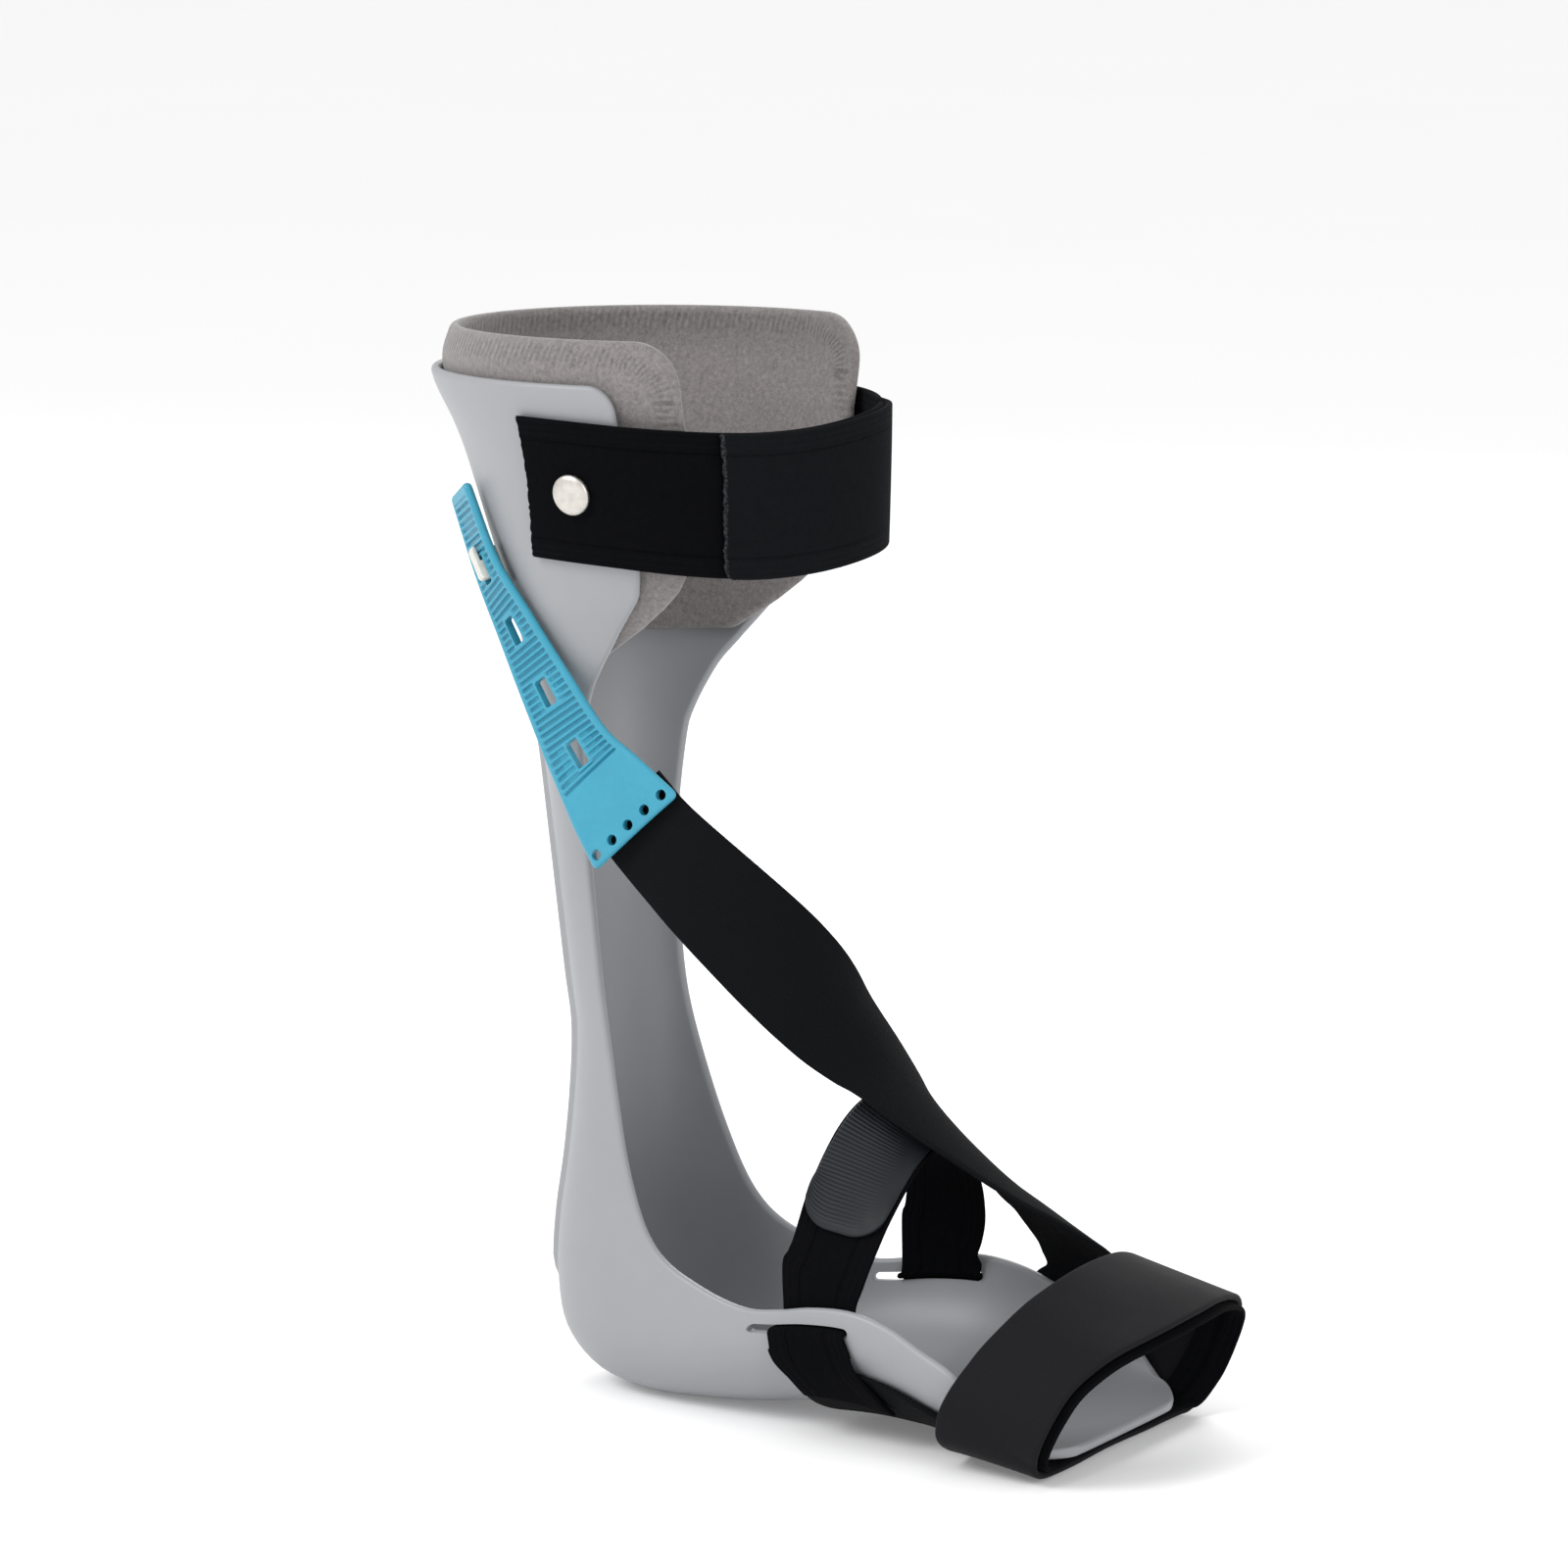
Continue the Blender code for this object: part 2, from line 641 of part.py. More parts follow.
# Ladder strap
SLOT_STEP = LADDER_SLOT[0] / LADDER_PITCH / 2
ladder_places = sorted(
    [0, 0.2, 0.45]
    + [slot + step for slot in (1, 2, 3, 4) for step in (-SLOT_STEP, SLOT_STEP)]
    + [slot + 0.5 for slot in (1, 2, 3)]
    + [4.5, 4.8, 5.1, 5.4, 5.7, 6]
)
ladder_grid = []
for place in ladder_places:
    half = between(LADDER, place)[5] * WIDTH / 2
    slot = LADDER_SLOT[1] / 2 / half
    ladder_grid.append(strip(LADDER, [place], (-1, -slot, slot, 1))[0])
ladder_grid = np.array(ladder_grid)
slot_starts = {
    row
    for row, place in enumerate(ladder_places)
    if any(abs(place - slot + SLOT_STEP) < 1e-6 for slot in (1, 2, 3, 4))
}
ladder = strap(
    "ladder_strap",
    ladder_grid,
    LADDER_THICK,
    ladder_skin,
    open_cells={(row, 1) for row in slot_starts},
)
hole_places = strip(LADDER, (5.78, 5.79), np.linspace(-0.8, 0.8, 5))
hole_out = -normals(strip(LADDER, (5.7, 5.8), np.linspace(-0.8, 0.8, 5)))[0]
for number in range(5):
    point, axes = frame_at(
        hole_places[0, number],
        hole_out[number],
        hole_places[1, number] - hole_places[0, number],
    )
    hole = prism(f"stitch_hole_{number + 1}", circle(STITCH_HOLE, 10), 0.006, point, axes)
    cut(ladder, hole)

# Stud of the ladder strap
stud_row = strip(LADDER, (0.97, 1.03), (-0.2, 0, 0.2))
stud_out = normals(stud_row)[0, 1]
stud_out *= -np.sign(stud_out[0])
stud_point, stud_axes = frame_at(
    stud_row.mean(axis=(0, 1)), stud_out, stud_row[1, 1] - stud_row[0, 1]
)


def distance_to_face(point, direction):
    """How far a point lies off the cuff's outer face, measured along a direction."""
    for step in np.arange(0, 0.02, 0.0001):
        probe = point + direction * step
        row = between(FORM, at_height(probe[2]))
        depth = (row[2] - row[0]) * LENGTH
        inside = ((probe[0] - row[2] * LENGTH) / depth) ** 2
        inside += (probe[1] / (row[4] * WIDTH)) ** 2
        if inside < 1:
            return step
    return 0.02


stud_base = -min(
    distance_to_face(stud_point + stud_axes[0] * along + stud_axes[1] * side, -stud_out)
    for along in (-STUD_BASE / 2, 0, STUD_BASE / 2)
    for side in (-STUD_WIDE, 0, STUD_WIDE)
) + GAP / 2
stud_top = LADDER_THICK / 2 + GAP
stud_outline = [
    (-STUD_BASE / 2, stud_base),
    (STUD_BASE / 2, stud_base),
    (STUD_BASE / 2, stud_base + STUD_THICK),
    (STUD_NECK / 2, stud_base + STUD_THICK),
    (STUD_NECK / 2, stud_top),
    (STUD_HOOK, stud_top),
    (STUD_HOOK - GAP, stud_top + STUD_THICK),
    (-STUD_NECK / 2, stud_top + STUD_THICK),
    (-STUD_NECK / 2, stud_base + STUD_THICK),
    (-STUD_BASE / 2, stud_base + STUD_THICK),
]
stud = prism(
    "ladder_stud",
    stud_outline,
    STUD_WIDE,
    stud_point,
    (stud_axes[0], stud_axes[2], -stud_axes[1]),
)
stud.data.materials.append(stud_skin)
stud.parent = frame

# Lift strap: over the instep, down the inner side and under the sole
ACROSS = (-1, -0.5, 0, 0.5, 1)


def sole_row(share, middle, width, rise, turned_round):
    """Points across a strap that lies on the shell, at a share of the arc to its edge."""
    row = []
    for across in ACROSS:
        reach = middle + turned_round * across * width / 2
        place = at_reach(reach)
        row.append(above(place, share * edge_arc(place, 1), rise))
    return row


lift_rise = 1.4 * GAP + LIFT_THICK / 2
lift_grid = strip(LIFT, np.linspace(0, 10, 26), ACROSS).tolist()
for step in np.linspace(0, 1, 22):
    share = -0.98 + step * 1.69
    middle = mix(*SOLE_REACH, step)
    width = mix(*SOLE_STRAP_WIDTH, step * 3)
    lift_grid.append(sole_row(share, middle, width, lift_rise, -1))
lift = strap("lift_strap", np.array(lift_grid), LIFT_THICK, elastic_skin)

# Instep strap: out of the outer slot, over the instep and out of the inner slot
instep_low = 2.6 * GAP + LIFT_THICK + INSTEP_THICK / 2
on_wall = GAP + INSTEP_THICK / 2
in_wall = -SHELL_THICK - GAP - INSTEP_THICK / 2


def through_slot(side):
    """Rows from the outside of the wall through its slot to the inside, then above it."""
    path = (
        (SLOT_DROP + 10 * INSTEP_TURN, on_wall),
        (SLOT_DROP + 5 * INSTEP_TURN, on_wall),
        (SLOT_DROP + INSTEP_TURN, on_wall),
        (SLOT_DROP + 0.35 * INSTEP_TURN, on_wall - 0.3 * INSTEP_TURN),
        (SLOT_DROP, on_wall - INSTEP_TURN),
        (SLOT_DROP, in_wall + INSTEP_TURN),
        (SLOT_DROP - 0.35 * INSTEP_TURN, in_wall + 0.3 * INSTEP_TURN),
        (SLOT_DROP - INSTEP_TURN, in_wall),
        (SLOT_DROP - 3.3 * INSTEP_TURN, in_wall),
    )
    rows = []
    for drop, rise in path:
        row = []
        for across in ACROSS:
            ahead = INSTEP_OFFSET + INSTEP_LEAN * max(drop - SLOT_DROP, 0)
            place = at_reach(SLOT_REACH + ahead + across * INSTEP_WIDTH / 2)
            row.append(above(place, -side * (edge_arc(place, 1) - drop), rise))
        rows.append(row)
    return rows


# Each row: share of the arc to the edge, how far ahead of the slot, share of the drop to the wall
lateral_rows = [
    sole_row(
        share,
        SLOT_REACH + ahead * INSTEP_WIDTH,
        INSTEP_WIDTH,
        instep_low + (on_wall - instep_low) * down,
        1,
    )
    for share, ahead, down in (
        (0.54, 0.66, 0.0),
        (0.60, 0.60, 0.0),
        (0.66, 0.52, 0.0),
        (0.71, 0.42, 0.0),
        (0.745, 0.33, 0.25),
        (0.78, 0.24, 0.85),
    )
]
lateral_rows += through_slot(-1)[1:]
over_rows = strip(INSTEP, np.linspace(0.25, 7.75, 21), ACROSS).tolist()
medial_rows = through_slot(1)[::-1]
instep_grid = np.array(lateral_rows + over_rows + medial_rows)
instep = strap("instep_strap", instep_grid, INSTEP_THICK, velvet_skin)

# Pull tab on the instep strap
tab_grid = strip(INSTEP, np.linspace(1.4, 4.3, 12), ACROSS, widen=0.96)
tab_out = normals(tab_grid)
tab_out *= np.sign(tab_out[-1, 2, 2])
tab_grid = tab_grid + tab_out * (INSTEP_THICK / 2 + GAP + TAB_THICK / 2)
strap("instep_pull_tab", tab_grid, TAB_THICK, tab_skin)

# Forefoot band, and the lining that shows inside its front edge
band_places = np.arange(0, len(BAND), 3 / 8)
band_grid = strip(BAND, band_places, (-1, 0, 1), ring=True)
strap("forefoot_strap", band_grid, BAND_THICK, band_skin, ring=True)
lining_grid = strip(BAND, band_places, (LINING_BACK, 0.5, 1), ring=True, shift=LINING_STEP)
lining_out = normals(lining_grid, ring=True)
lining_out *= -np.sign(lining_out[0, 1, 2])
lining_grid = lining_grid - lining_out * (BAND_THICK / 2 + LINING_GAP + LINING_THICK / 2)
strap("forefoot_lining", lining_grid, LINING_THICK, velvet_skin, ring=True)
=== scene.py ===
# %% [markdown]
# # A foot drop orthosis
#
# This lesson dresses a solid model of an ankle brace: a moulded plastic leaf
# that runs down the back of the leg and under the foot, a padded cuff with a
# pile strap, and straps that lift the front of the foot. The solid model
# fixes every place and size, and the dressed pieces are made on the same
# sections.

import json
import math
import random
from functools import lru_cache

import bmesh
import bpy
import numpy as np
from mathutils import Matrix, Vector

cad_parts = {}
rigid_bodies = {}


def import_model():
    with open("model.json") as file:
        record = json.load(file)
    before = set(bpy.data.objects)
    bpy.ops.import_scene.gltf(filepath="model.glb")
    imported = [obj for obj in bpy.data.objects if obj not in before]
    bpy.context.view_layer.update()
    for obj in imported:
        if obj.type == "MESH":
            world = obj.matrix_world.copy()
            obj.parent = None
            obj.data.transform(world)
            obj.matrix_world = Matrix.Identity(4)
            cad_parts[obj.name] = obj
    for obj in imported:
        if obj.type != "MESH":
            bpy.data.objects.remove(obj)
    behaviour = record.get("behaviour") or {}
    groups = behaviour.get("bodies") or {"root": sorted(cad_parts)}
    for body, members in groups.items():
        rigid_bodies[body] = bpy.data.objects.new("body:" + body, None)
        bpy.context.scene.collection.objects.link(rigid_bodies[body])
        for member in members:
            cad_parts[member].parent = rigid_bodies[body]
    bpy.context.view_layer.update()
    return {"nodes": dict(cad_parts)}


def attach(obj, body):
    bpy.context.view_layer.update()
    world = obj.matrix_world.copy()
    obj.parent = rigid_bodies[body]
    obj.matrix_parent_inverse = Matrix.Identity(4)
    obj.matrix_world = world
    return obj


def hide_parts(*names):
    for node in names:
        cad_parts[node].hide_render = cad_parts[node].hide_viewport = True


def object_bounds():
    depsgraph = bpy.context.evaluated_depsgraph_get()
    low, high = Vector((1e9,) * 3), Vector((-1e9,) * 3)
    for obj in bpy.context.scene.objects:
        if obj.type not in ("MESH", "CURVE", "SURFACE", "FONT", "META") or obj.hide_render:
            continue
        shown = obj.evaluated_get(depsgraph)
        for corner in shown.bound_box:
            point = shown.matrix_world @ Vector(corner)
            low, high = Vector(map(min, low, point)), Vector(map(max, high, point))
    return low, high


for old in list(bpy.data.objects):
    bpy.data.objects.remove(old, do_unlink=True)
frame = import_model()

# %% [markdown]
# ## The camera
#
# The brace is seen from its outer side and a little from the front, about ten
# degrees above the floor. A long lens keeps the tall cuff and the near
# toe end at honest proportions.

# %% Set the camera
AZIMUTH, ELEVATION, DISTANCE = math.radians(31), math.radians(9.5), 1.85
TARGET = Vector((0.032, 0, 0.185))
back = Vector((
    math.sin(AZIMUTH) * math.cos(ELEVATION),
    -math.cos(AZIMUTH) * math.cos(ELEVATION),
    math.sin(ELEVATION),
))
lens = bpy.data.cameras.new("camera")
lens.sensor_width, lens.lens = 36, 145.1
camera = bpy.data.objects.new("camera", lens)
bpy.context.scene.collection.objects.link(camera)
camera.location = TARGET + back * DISTANCE
camera.rotation_mode = "QUATERNION"
camera.rotation_quaternion = (-back).to_track_quat("-Z", "Y")
bpy.context.scene.camera = camera
print("camera at", tuple(round(x, 3) for x in camera.location))

# %% [markdown]
# ## The shell's sections
#
# A moulded leaf has no flat sides, so its outer face is a loft. Each row of
# the table is one cut through the leg: where the middle of the back lies,
# where the side lies, half its width and how square its corner is. Lengths
# are shares of the height, length and width, so the table reads like a
# pattern that can be graded to another size.

# %% Sizes and sections
HEIGHT, LENGTH, WIDTH = 0.306, 0.190, 0.124
SHELL_THICK, PAD_THICK, GAP = 0.003, 0.0045, 0.0005
SHELL_HALF, PAD_HALF = SHELL_THICK / 2, PAD_THICK / 2
SLOT_REACH, SLOT_LENGTH, SLOT_GAP, SLOT_DROP = 0.0625, 0.033, 0.0034, 0.007
STRAP_LEVEL, STRAP_WIDTH, STRAP_THICK = 0.2755, 0.042, 0.002
FORM = (
    (-0.387, 1.052, -0.037, 1.052, 0.484, 2.0),  # above the lip
    (-0.403, 1.000, -0.039, 1.000, 0.500, 2.0),  # lip
    (-0.376, 0.948, -0.026, 0.948, 0.484, 2.0),
    (-0.352, 0.905, -0.012, 0.905, 0.468, 2.0),  # middle of the cuff
    (-0.326, 0.856, -0.008, 0.856, 0.444, 2.0),
    (-0.306, 0.817, -0.010, 0.817, 0.419, 2.0),
    (-0.289, 0.784, -0.018, 0.784, 0.391, 2.0),
    (-0.276, 0.752, -0.034, 0.752, 0.355, 2.0),
    (-0.267, 0.722, -0.056, 0.722, 0.323, 2.0),  # neck
    (-0.259, 0.693, -0.080, 0.693, 0.290, 2.0),
    (-0.248, 0.654, -0.096, 0.654, 0.258, 2.0),
    (-0.238, 0.614, -0.102, 0.614, 0.234, 2.0),  # top of the leaf
    (-0.224, 0.539, -0.105, 0.539, 0.206, 2.0),
    (-0.213, 0.484, -0.100, 0.484, 0.198, 2.0),
    (-0.197, 0.408, -0.089, 0.408, 0.194, 2.0),
    (-0.185, 0.356, -0.075, 0.356, 0.198, 2.0),  # ankle
    (-0.187, 0.294, -0.050, 0.291, 0.218, 2.1),
    (-0.197, 0.229, -0.026, 0.239, 0.238, 2.2),  # top of the heel
    (-0.213, 0.163, 0.003, 0.193, 0.254, 2.3),
    (-0.216, 0.105, 0.032, 0.165, 0.266, 2.4),  # back of the heel
    (-0.197, 0.050, 0.068, 0.147, 0.275, 2.5),
    (-0.133, 0.013, 0.116, 0.134, 0.284, 2.6),
    (-0.042, -0.002, 0.168, 0.124, 0.294, 2.5),  # heel flat
    (0.063, -0.002, 0.221, 0.119, 0.302, 2.4),
    (0.168, 0.003, 0.274, 0.123, 0.310, 2.3),
    (0.274, 0.012, 0.337, 0.131, 0.323, 2.2),  # arch
    (0.379, 0.016, 0.411, 0.134, 0.335, 2.2),
    (0.474, 0.016, 0.479, 0.126, 0.347, 2.3),
    (0.547, 0.016, 0.542, 0.109, 0.359, 2.5),  # ball of the foot
    (0.611, 0.016, 0.605, 0.092, 0.371, 2.9),
    (0.663, 0.016, 0.658, 0.065, 0.375, 3.4),
    (0.705, 0.016, 0.700, 0.042, 0.371, 4.0),
    (0.742, 0.016, 0.737, 0.031, 0.363, 4.0),
    (0.774, 0.016, 0.770, 0.028, 0.355, 4.0),  # toe edge
)
LIP, CUFF_END, FOOT_START, TOE = 1, 14, 20, len(FORM) - 1
REACH = (
    (1.060, 99, 122),
    (1.000, 106, 122),
    (0.900, 104, 122),
    (0.820, 106, 121),
    (0.795, 106, 119),
    (0.775, 103, 115),
    (0.755, 100, 109),
    (0.725, 97, 96),
    (0.680, 94, 92),
    (0.640, 90, 90),
    (0.000, 90, 90),
)  # height, then how many degrees round the leg the shell and the pad reach
SHELL_EDGE, PAD_EDGE = 1, 2  # that table's columns
TURNS = np.linspace(0, 140, 281)  # degrees from the back at a section's points
print(len(FORM), "sections from the lip to the toe edge")


# %% Read a smooth row between two rows of a table
def between(rows, place, ring=False):
    rows = np.asarray(rows, float)
    count = len(rows)
    first = int(math.floor(place)) if ring else min(max(int(place), 0), count - 2)
    part = place - first
    if ring:
        a, b, c, d = (rows[(first + step) % count] for step in (-1, 0, 1, 2))
    else:
        b, c = rows[first], rows[first + 1]
        a = rows[first - 1] if first else 2 * b - c
        d = rows[first + 2] if first + 2 < count else 2 * c - b
    bend = 2 * a - 5 * b + 4 * c - d
    twist = 3 * (b - c) + d - a
    return b + 0.5 * part * (c - a + part * (bend + part * twist))


def ease(low, high, share):
    share = np.clip(share, 0, 1)
    return low + (high - low) * share * share * (3 - 2 * share)


# %% Stand on the outer face
@lru_cache(maxsize=None)
def section(place):
    """Half a section's points, from the back forward, and how far along it each one is."""
    spine_x, spine_z, side_x, side_z, half, square = between(FORM, place)
    spine = np.array((spine_x * LENGTH, 0, spine_z * HEIGHT))
    side = np.array((side_x * LENGTH, 0, side_z * HEIGHT))
    turn = np.radians(TURNS)
    power = 2 / square
    depth = 1 - np.sign(np.cos(turn)) * abs(np.cos(turn)) ** power
    points = spine + depth[:, None] * (side - spine)
    points[:, 1] = -half * WIDTH * abs(np.sin(turn)) ** power
    arcs = np.concatenate(([0], np.linalg.norm(np.diff(points, axis=0), axis=1).cumsum()))
    return points, arcs


def face(place, arc):
    points, arcs = section(round(place, 6))
    point = np.array([np.interp(abs(arc), arcs, points[:, axis]) for axis in range(3)])
    if arc < 0:
        point[1] = -point[1]
    return point


def flare(level):
    """How far the lip turns out, at a share of the height."""
    return 0.003 * ease(0, 1, (level - 0.92) / 0.1)


def above(place, arc, rise):
    """The point that stands off the outer face along its normal."""
    down = face(min(place + 0.02, TOE), arc) - face(max(place - 0.02, 0), arc)
    along = face(place, arc + 0.0006) - face(place, arc - 0.0006)
    normal = np.cross(down, along)
    if place < 4:
        rise = rise + flare(face(place, 0)[2] / HEIGHT)
    return face(place, arc) + rise * normal / np.linalg.norm(normal)


PLACES = np.linspace(0, TOE, 40 * TOE + 1)
LEVELS = np.array([between(FORM, place)[3] * HEIGHT for place in PLACES])
REACHES = np.array([between(FORM, place)[2] * LENGTH for place in PLACES])


def at_height(height):
    upper = PLACES < CUFF_END
    return float(np.interp(-height, -LEVELS[upper], PLACES[upper]))


def at_reach(reach):
    lower = PLACES > FOOT_START
    return float(np.interp(reach, REACHES[lower], PLACES[lower]))


def edge_arc(place, column):
    """How far from the back the shell's or the pad's side edge lies."""
    table = np.array(REACH[::-1], float)
    degrees = 90
    if place < CUFF_END:
        degrees = np.interp(between(FORM, place)[3], table[:, 0], table[:, column])
    return float(np.interp(degrees, TURNS, section(round(place, 6))[1]))


def rounded(arc, inside, radius):
    """A side edge, drawn in near an end so that the corner is round."""
    if inside >= radius:
        return arc
    return arc - radius + math.sqrt(max(radius**2 - (radius - inside) ** 2, 0))
print("cuff half width", round(-face(1, edge_arc(1, SHELL_EDGE))[1], 4))

# %% [markdown]
# ## One mesher for every flat piece
#
# The shell, the pad and all the straps are thin sheets with soft edges. Each
# is a grid of middle points, moved to both sides along the surface's normal.
# Near the rim the thickness falls to nothing along a quarter circle, so
# the two faces meet in a round edge without any bevel.


# %% Make a sheet with round edges
def normals(grid, ring=False):
    if ring:
        wrapped = np.concatenate((grid[-1:], grid, grid[:1]))
        along = np.gradient(wrapped, axis=0)[1:-1]
    else:
        along = np.gradient(grid, axis=0)
    out = np.cross(along, np.gradient(grid, axis=1))
    return out / np.maximum(np.linalg.norm(out, axis=2, keepdims=True), 1e-12)


def keep_places(mesh, name, places):
    """Writes a pair of distances for each vertex into a UV map."""
    owner = np.empty(len(mesh.loops), np.int32)
    mesh.loops.foreach_get("vertex_index", owner)
    layer = mesh.uv_layers.new(name=name)
    layer.data.foreach_set("uv", np.asarray(places)[owner].ravel())


def mesh_of(name, corners, faces, finish, node_names, weld=2e-6, smooth=True, weave=None):
    mesh = bpy.data.meshes.new(name)
    mesh.from_pydata(np.asarray(corners).tolist(), [], faces)
    if weave is not None:
        keep_places(mesh, "weave", weave)
    body = bmesh.new()
    body.from_mesh(mesh)
    bmesh.ops.remove_doubles(body, verts=body.verts, dist=weld)
    bmesh.ops.dissolve_degenerate(body, edges=body.edges, dist=1e-7)
    bmesh.ops.recalc_face_normals(body, faces=body.faces)
    body.to_mesh(mesh)
    body.free()
    mesh.materials.append(finish)
    if smooth:
        mesh.shade_smooth()
    piece = bpy.data.objects.new(name, mesh)
    bpy.context.scene.collection.objects.link(piece)
    if node_names:
        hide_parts(*node_names)
    return piece


def skin(name, outer, inner, finish, node_names=(), ring=False, weave=None):
    """Two grids of points that meet at the rim; weave keeps places along and in from the side."""
    rows, columns = outer.shape[:2]
    below = rows * columns
    faces = []
    for row in range(rows if ring else rows - 1):
        following = (row + 1) % rows
        for column in range(columns - 1):
            loop = (
                row * columns + column,
                row * columns + column + 1,
                following * columns + column + 1,
                following * columns + column,
            )
            faces += [loop, tuple(corner + below for corner in reversed(loop))]
    corners = np.concatenate((outer.reshape(-1, 3), inner.reshape(-1, 3)))
    if weave is not None:
        weave = np.concatenate((weave.reshape(-1, 2),) * 2)
    return mesh_of(name, corners, faces, finish, node_names, weave=weave)


RIM = np.array((0, 0.03, 0.12, 0.27, 0.48, 0.74, 1.0))


def with_rim(start, end, radius, count, last=None):
    """Stations from start to end, crowded in a quarter circle at both ends."""
    last = last or radius
    inside = np.linspace(start + radius, end - last, count)
    return np.concatenate((start + radius * RIM[:-1], inside, (end - last * RIM[:-1])[::-1]))


def roundness(distance, radius):
    share = np.clip(1 - np.asarray(distance) / radius, 0, 1)
    return np.sqrt(np.maximum(1 - share**2, 0))
def two_faces(places, arcs, *heights):
    """Grids of points on the shell's sections, one for each grid of heights over them."""
    return [
        np.array([[above(place, arc, rise) for arc, rise in zip(row, rises)]
                  for place, row, rises in zip(places, arcs, grid)])
        for grid in heights
    ]


def corner_pull(inward, radius):
    """How far a round corner draws a point in, by its distance from the side edge."""
    short = np.clip(radius - inward, 0, radius)
    return radius - np.sqrt(np.maximum(radius**2 - short**2, 0))


def draw_in(middle, end, toward, amount):
    """Moves a strap's points along it, in the direction from one row to another."""
    step = middle[toward] - middle[end]
    step /= np.linalg.norm(step, axis=1, keepdims=True)
    return middle + step[None] * amount[:, :, None]

def run_of(middle):
    """Distance along a strap of each row of its middle points."""
    line = middle[:, middle.shape[1] // 2]
    return np.concatenate(([0], np.linalg.norm(np.diff(line, axis=0), axis=1).cumsum()))


def strap(name, middle, sides, thick, finish, node_names=(), ring=False, relief=None, facing=1):
    """sides gives each column's distance in from the strap's side edge."""
    radius, run = thick / 2, run_of(middle)
    ends = np.minimum(run, run[-1] - run)
    swell = roundness(sides, radius)[None, :] * np.ones((len(middle), 1))
    if not ring:
        swell = swell * roundness(ends, radius)[:, None]
    out = normals(middle, ring) * facing
    lift = 0 if relief is None else relief * swell
    weave = np.dstack(np.broadcast_arrays(run[:, None], np.asarray(sides)[None, :]))
    return skin(
        name,
        middle + out * (swell * radius + lift)[:, :, None],
        middle - out * (swell * radius)[:, :, None],
        finish, node_names, ring, weave,
    )


def shares_across(width, thick, count):
    """Columns across a strap, crowded at its edges, and each one's distance in from the edge."""
    across = with_rim(-width / 2, width / 2, thick / 2, count)
    return across * 2 / width, width / 2 - abs(across)


def places_along(low, high, length, thick, count):
    """Rows along a strap, crowded at both ends."""
    return low + (high - low) * with_rim(0, length, thick / 2, count) / length


def settle(piece):
    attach(piece, "root")
    print(piece.name, len(piece.data.polygons), "faces")
    return piece


# %% [markdown]
# ## Writing shader maths as sentences
#
# A procedural finish is arithmetic on places. A small class wraps a socket,
# so that the arithmetic is written as such, and every operator adds the Math
# node that it stands for.


# %% A socket that can be added and multiplied
class Value:
    def __init__(self, tree, socket):
        self.tree, self.socket = tree, socket

    def node(self, kind, settings=None, **values):
        made = self.tree.nodes.new(kind)
        for key, setting in (settings or {}).items():
            setattr(made, key, setting)
        for key, value in values.items():
            name = key.replace("_", " ")
            socket = made.inputs[int(key[1:])] if key[1:].isdigit() else made.inputs[name]
            if isinstance(value, Value):
                self.tree.links.new(value.socket, socket)
            else:
                socket.default_value = value
        return made

    def maths(self, operation, *others):
        values = {f"i{index}": other for index, other in enumerate((self, *others))}
        made = self.node("ShaderNodeMath", {"operation": operation}, **values)
        return Value(self.tree, made.outputs[0])

    def __add__(self, other):
        return self.maths("ADD", other)

    def __mul__(self, other):
        return self.maths("MULTIPLY", other)

    def __sub__(self, other):
        return self.maths("SUBTRACT", other)

    def __rsub__(self, other):
        return (self * -1) + other

    def __truediv__(self, other):
        return self.maths("DIVIDE", other)

    __radd__, __rmul__ = __add__, __mul__

    def sine(self):
        return self.maths("SINE")

    def size(self):
        return self.maths("ABSOLUTE")

    def above(self, edge, soft):
        """One where the value is above an edge, zero below it."""
        made = self.node(
            "ShaderNodeMapRange", {"interpolation_type": "SMOOTHSTEP"},
            Value=self, From_Min=edge - soft, From_Max=edge + soft,
        )
        return Value(self.tree, made.outputs[0])

    def wave(self, pitch, shift=None):
        """A wave from zero to one that repeats after each pitch."""
        turn = self * (2 * math.pi / pitch)
        if shift is not None:
            turn = turn + shift
        return turn.sine() * 0.5 + 0.5

    def blend(self, under, over):
        """The colour under, and a plain colour where this value is one."""
        made = self.node(
            "ShaderNodeMix", {"data_type": "RGBA"}, i0=self, i6=under, i7=(*over, 1)
        )
        return Value(self.tree, made.outputs[2])

    def tint(self, dark, light):
        return self.blend((*dark, 1), light)


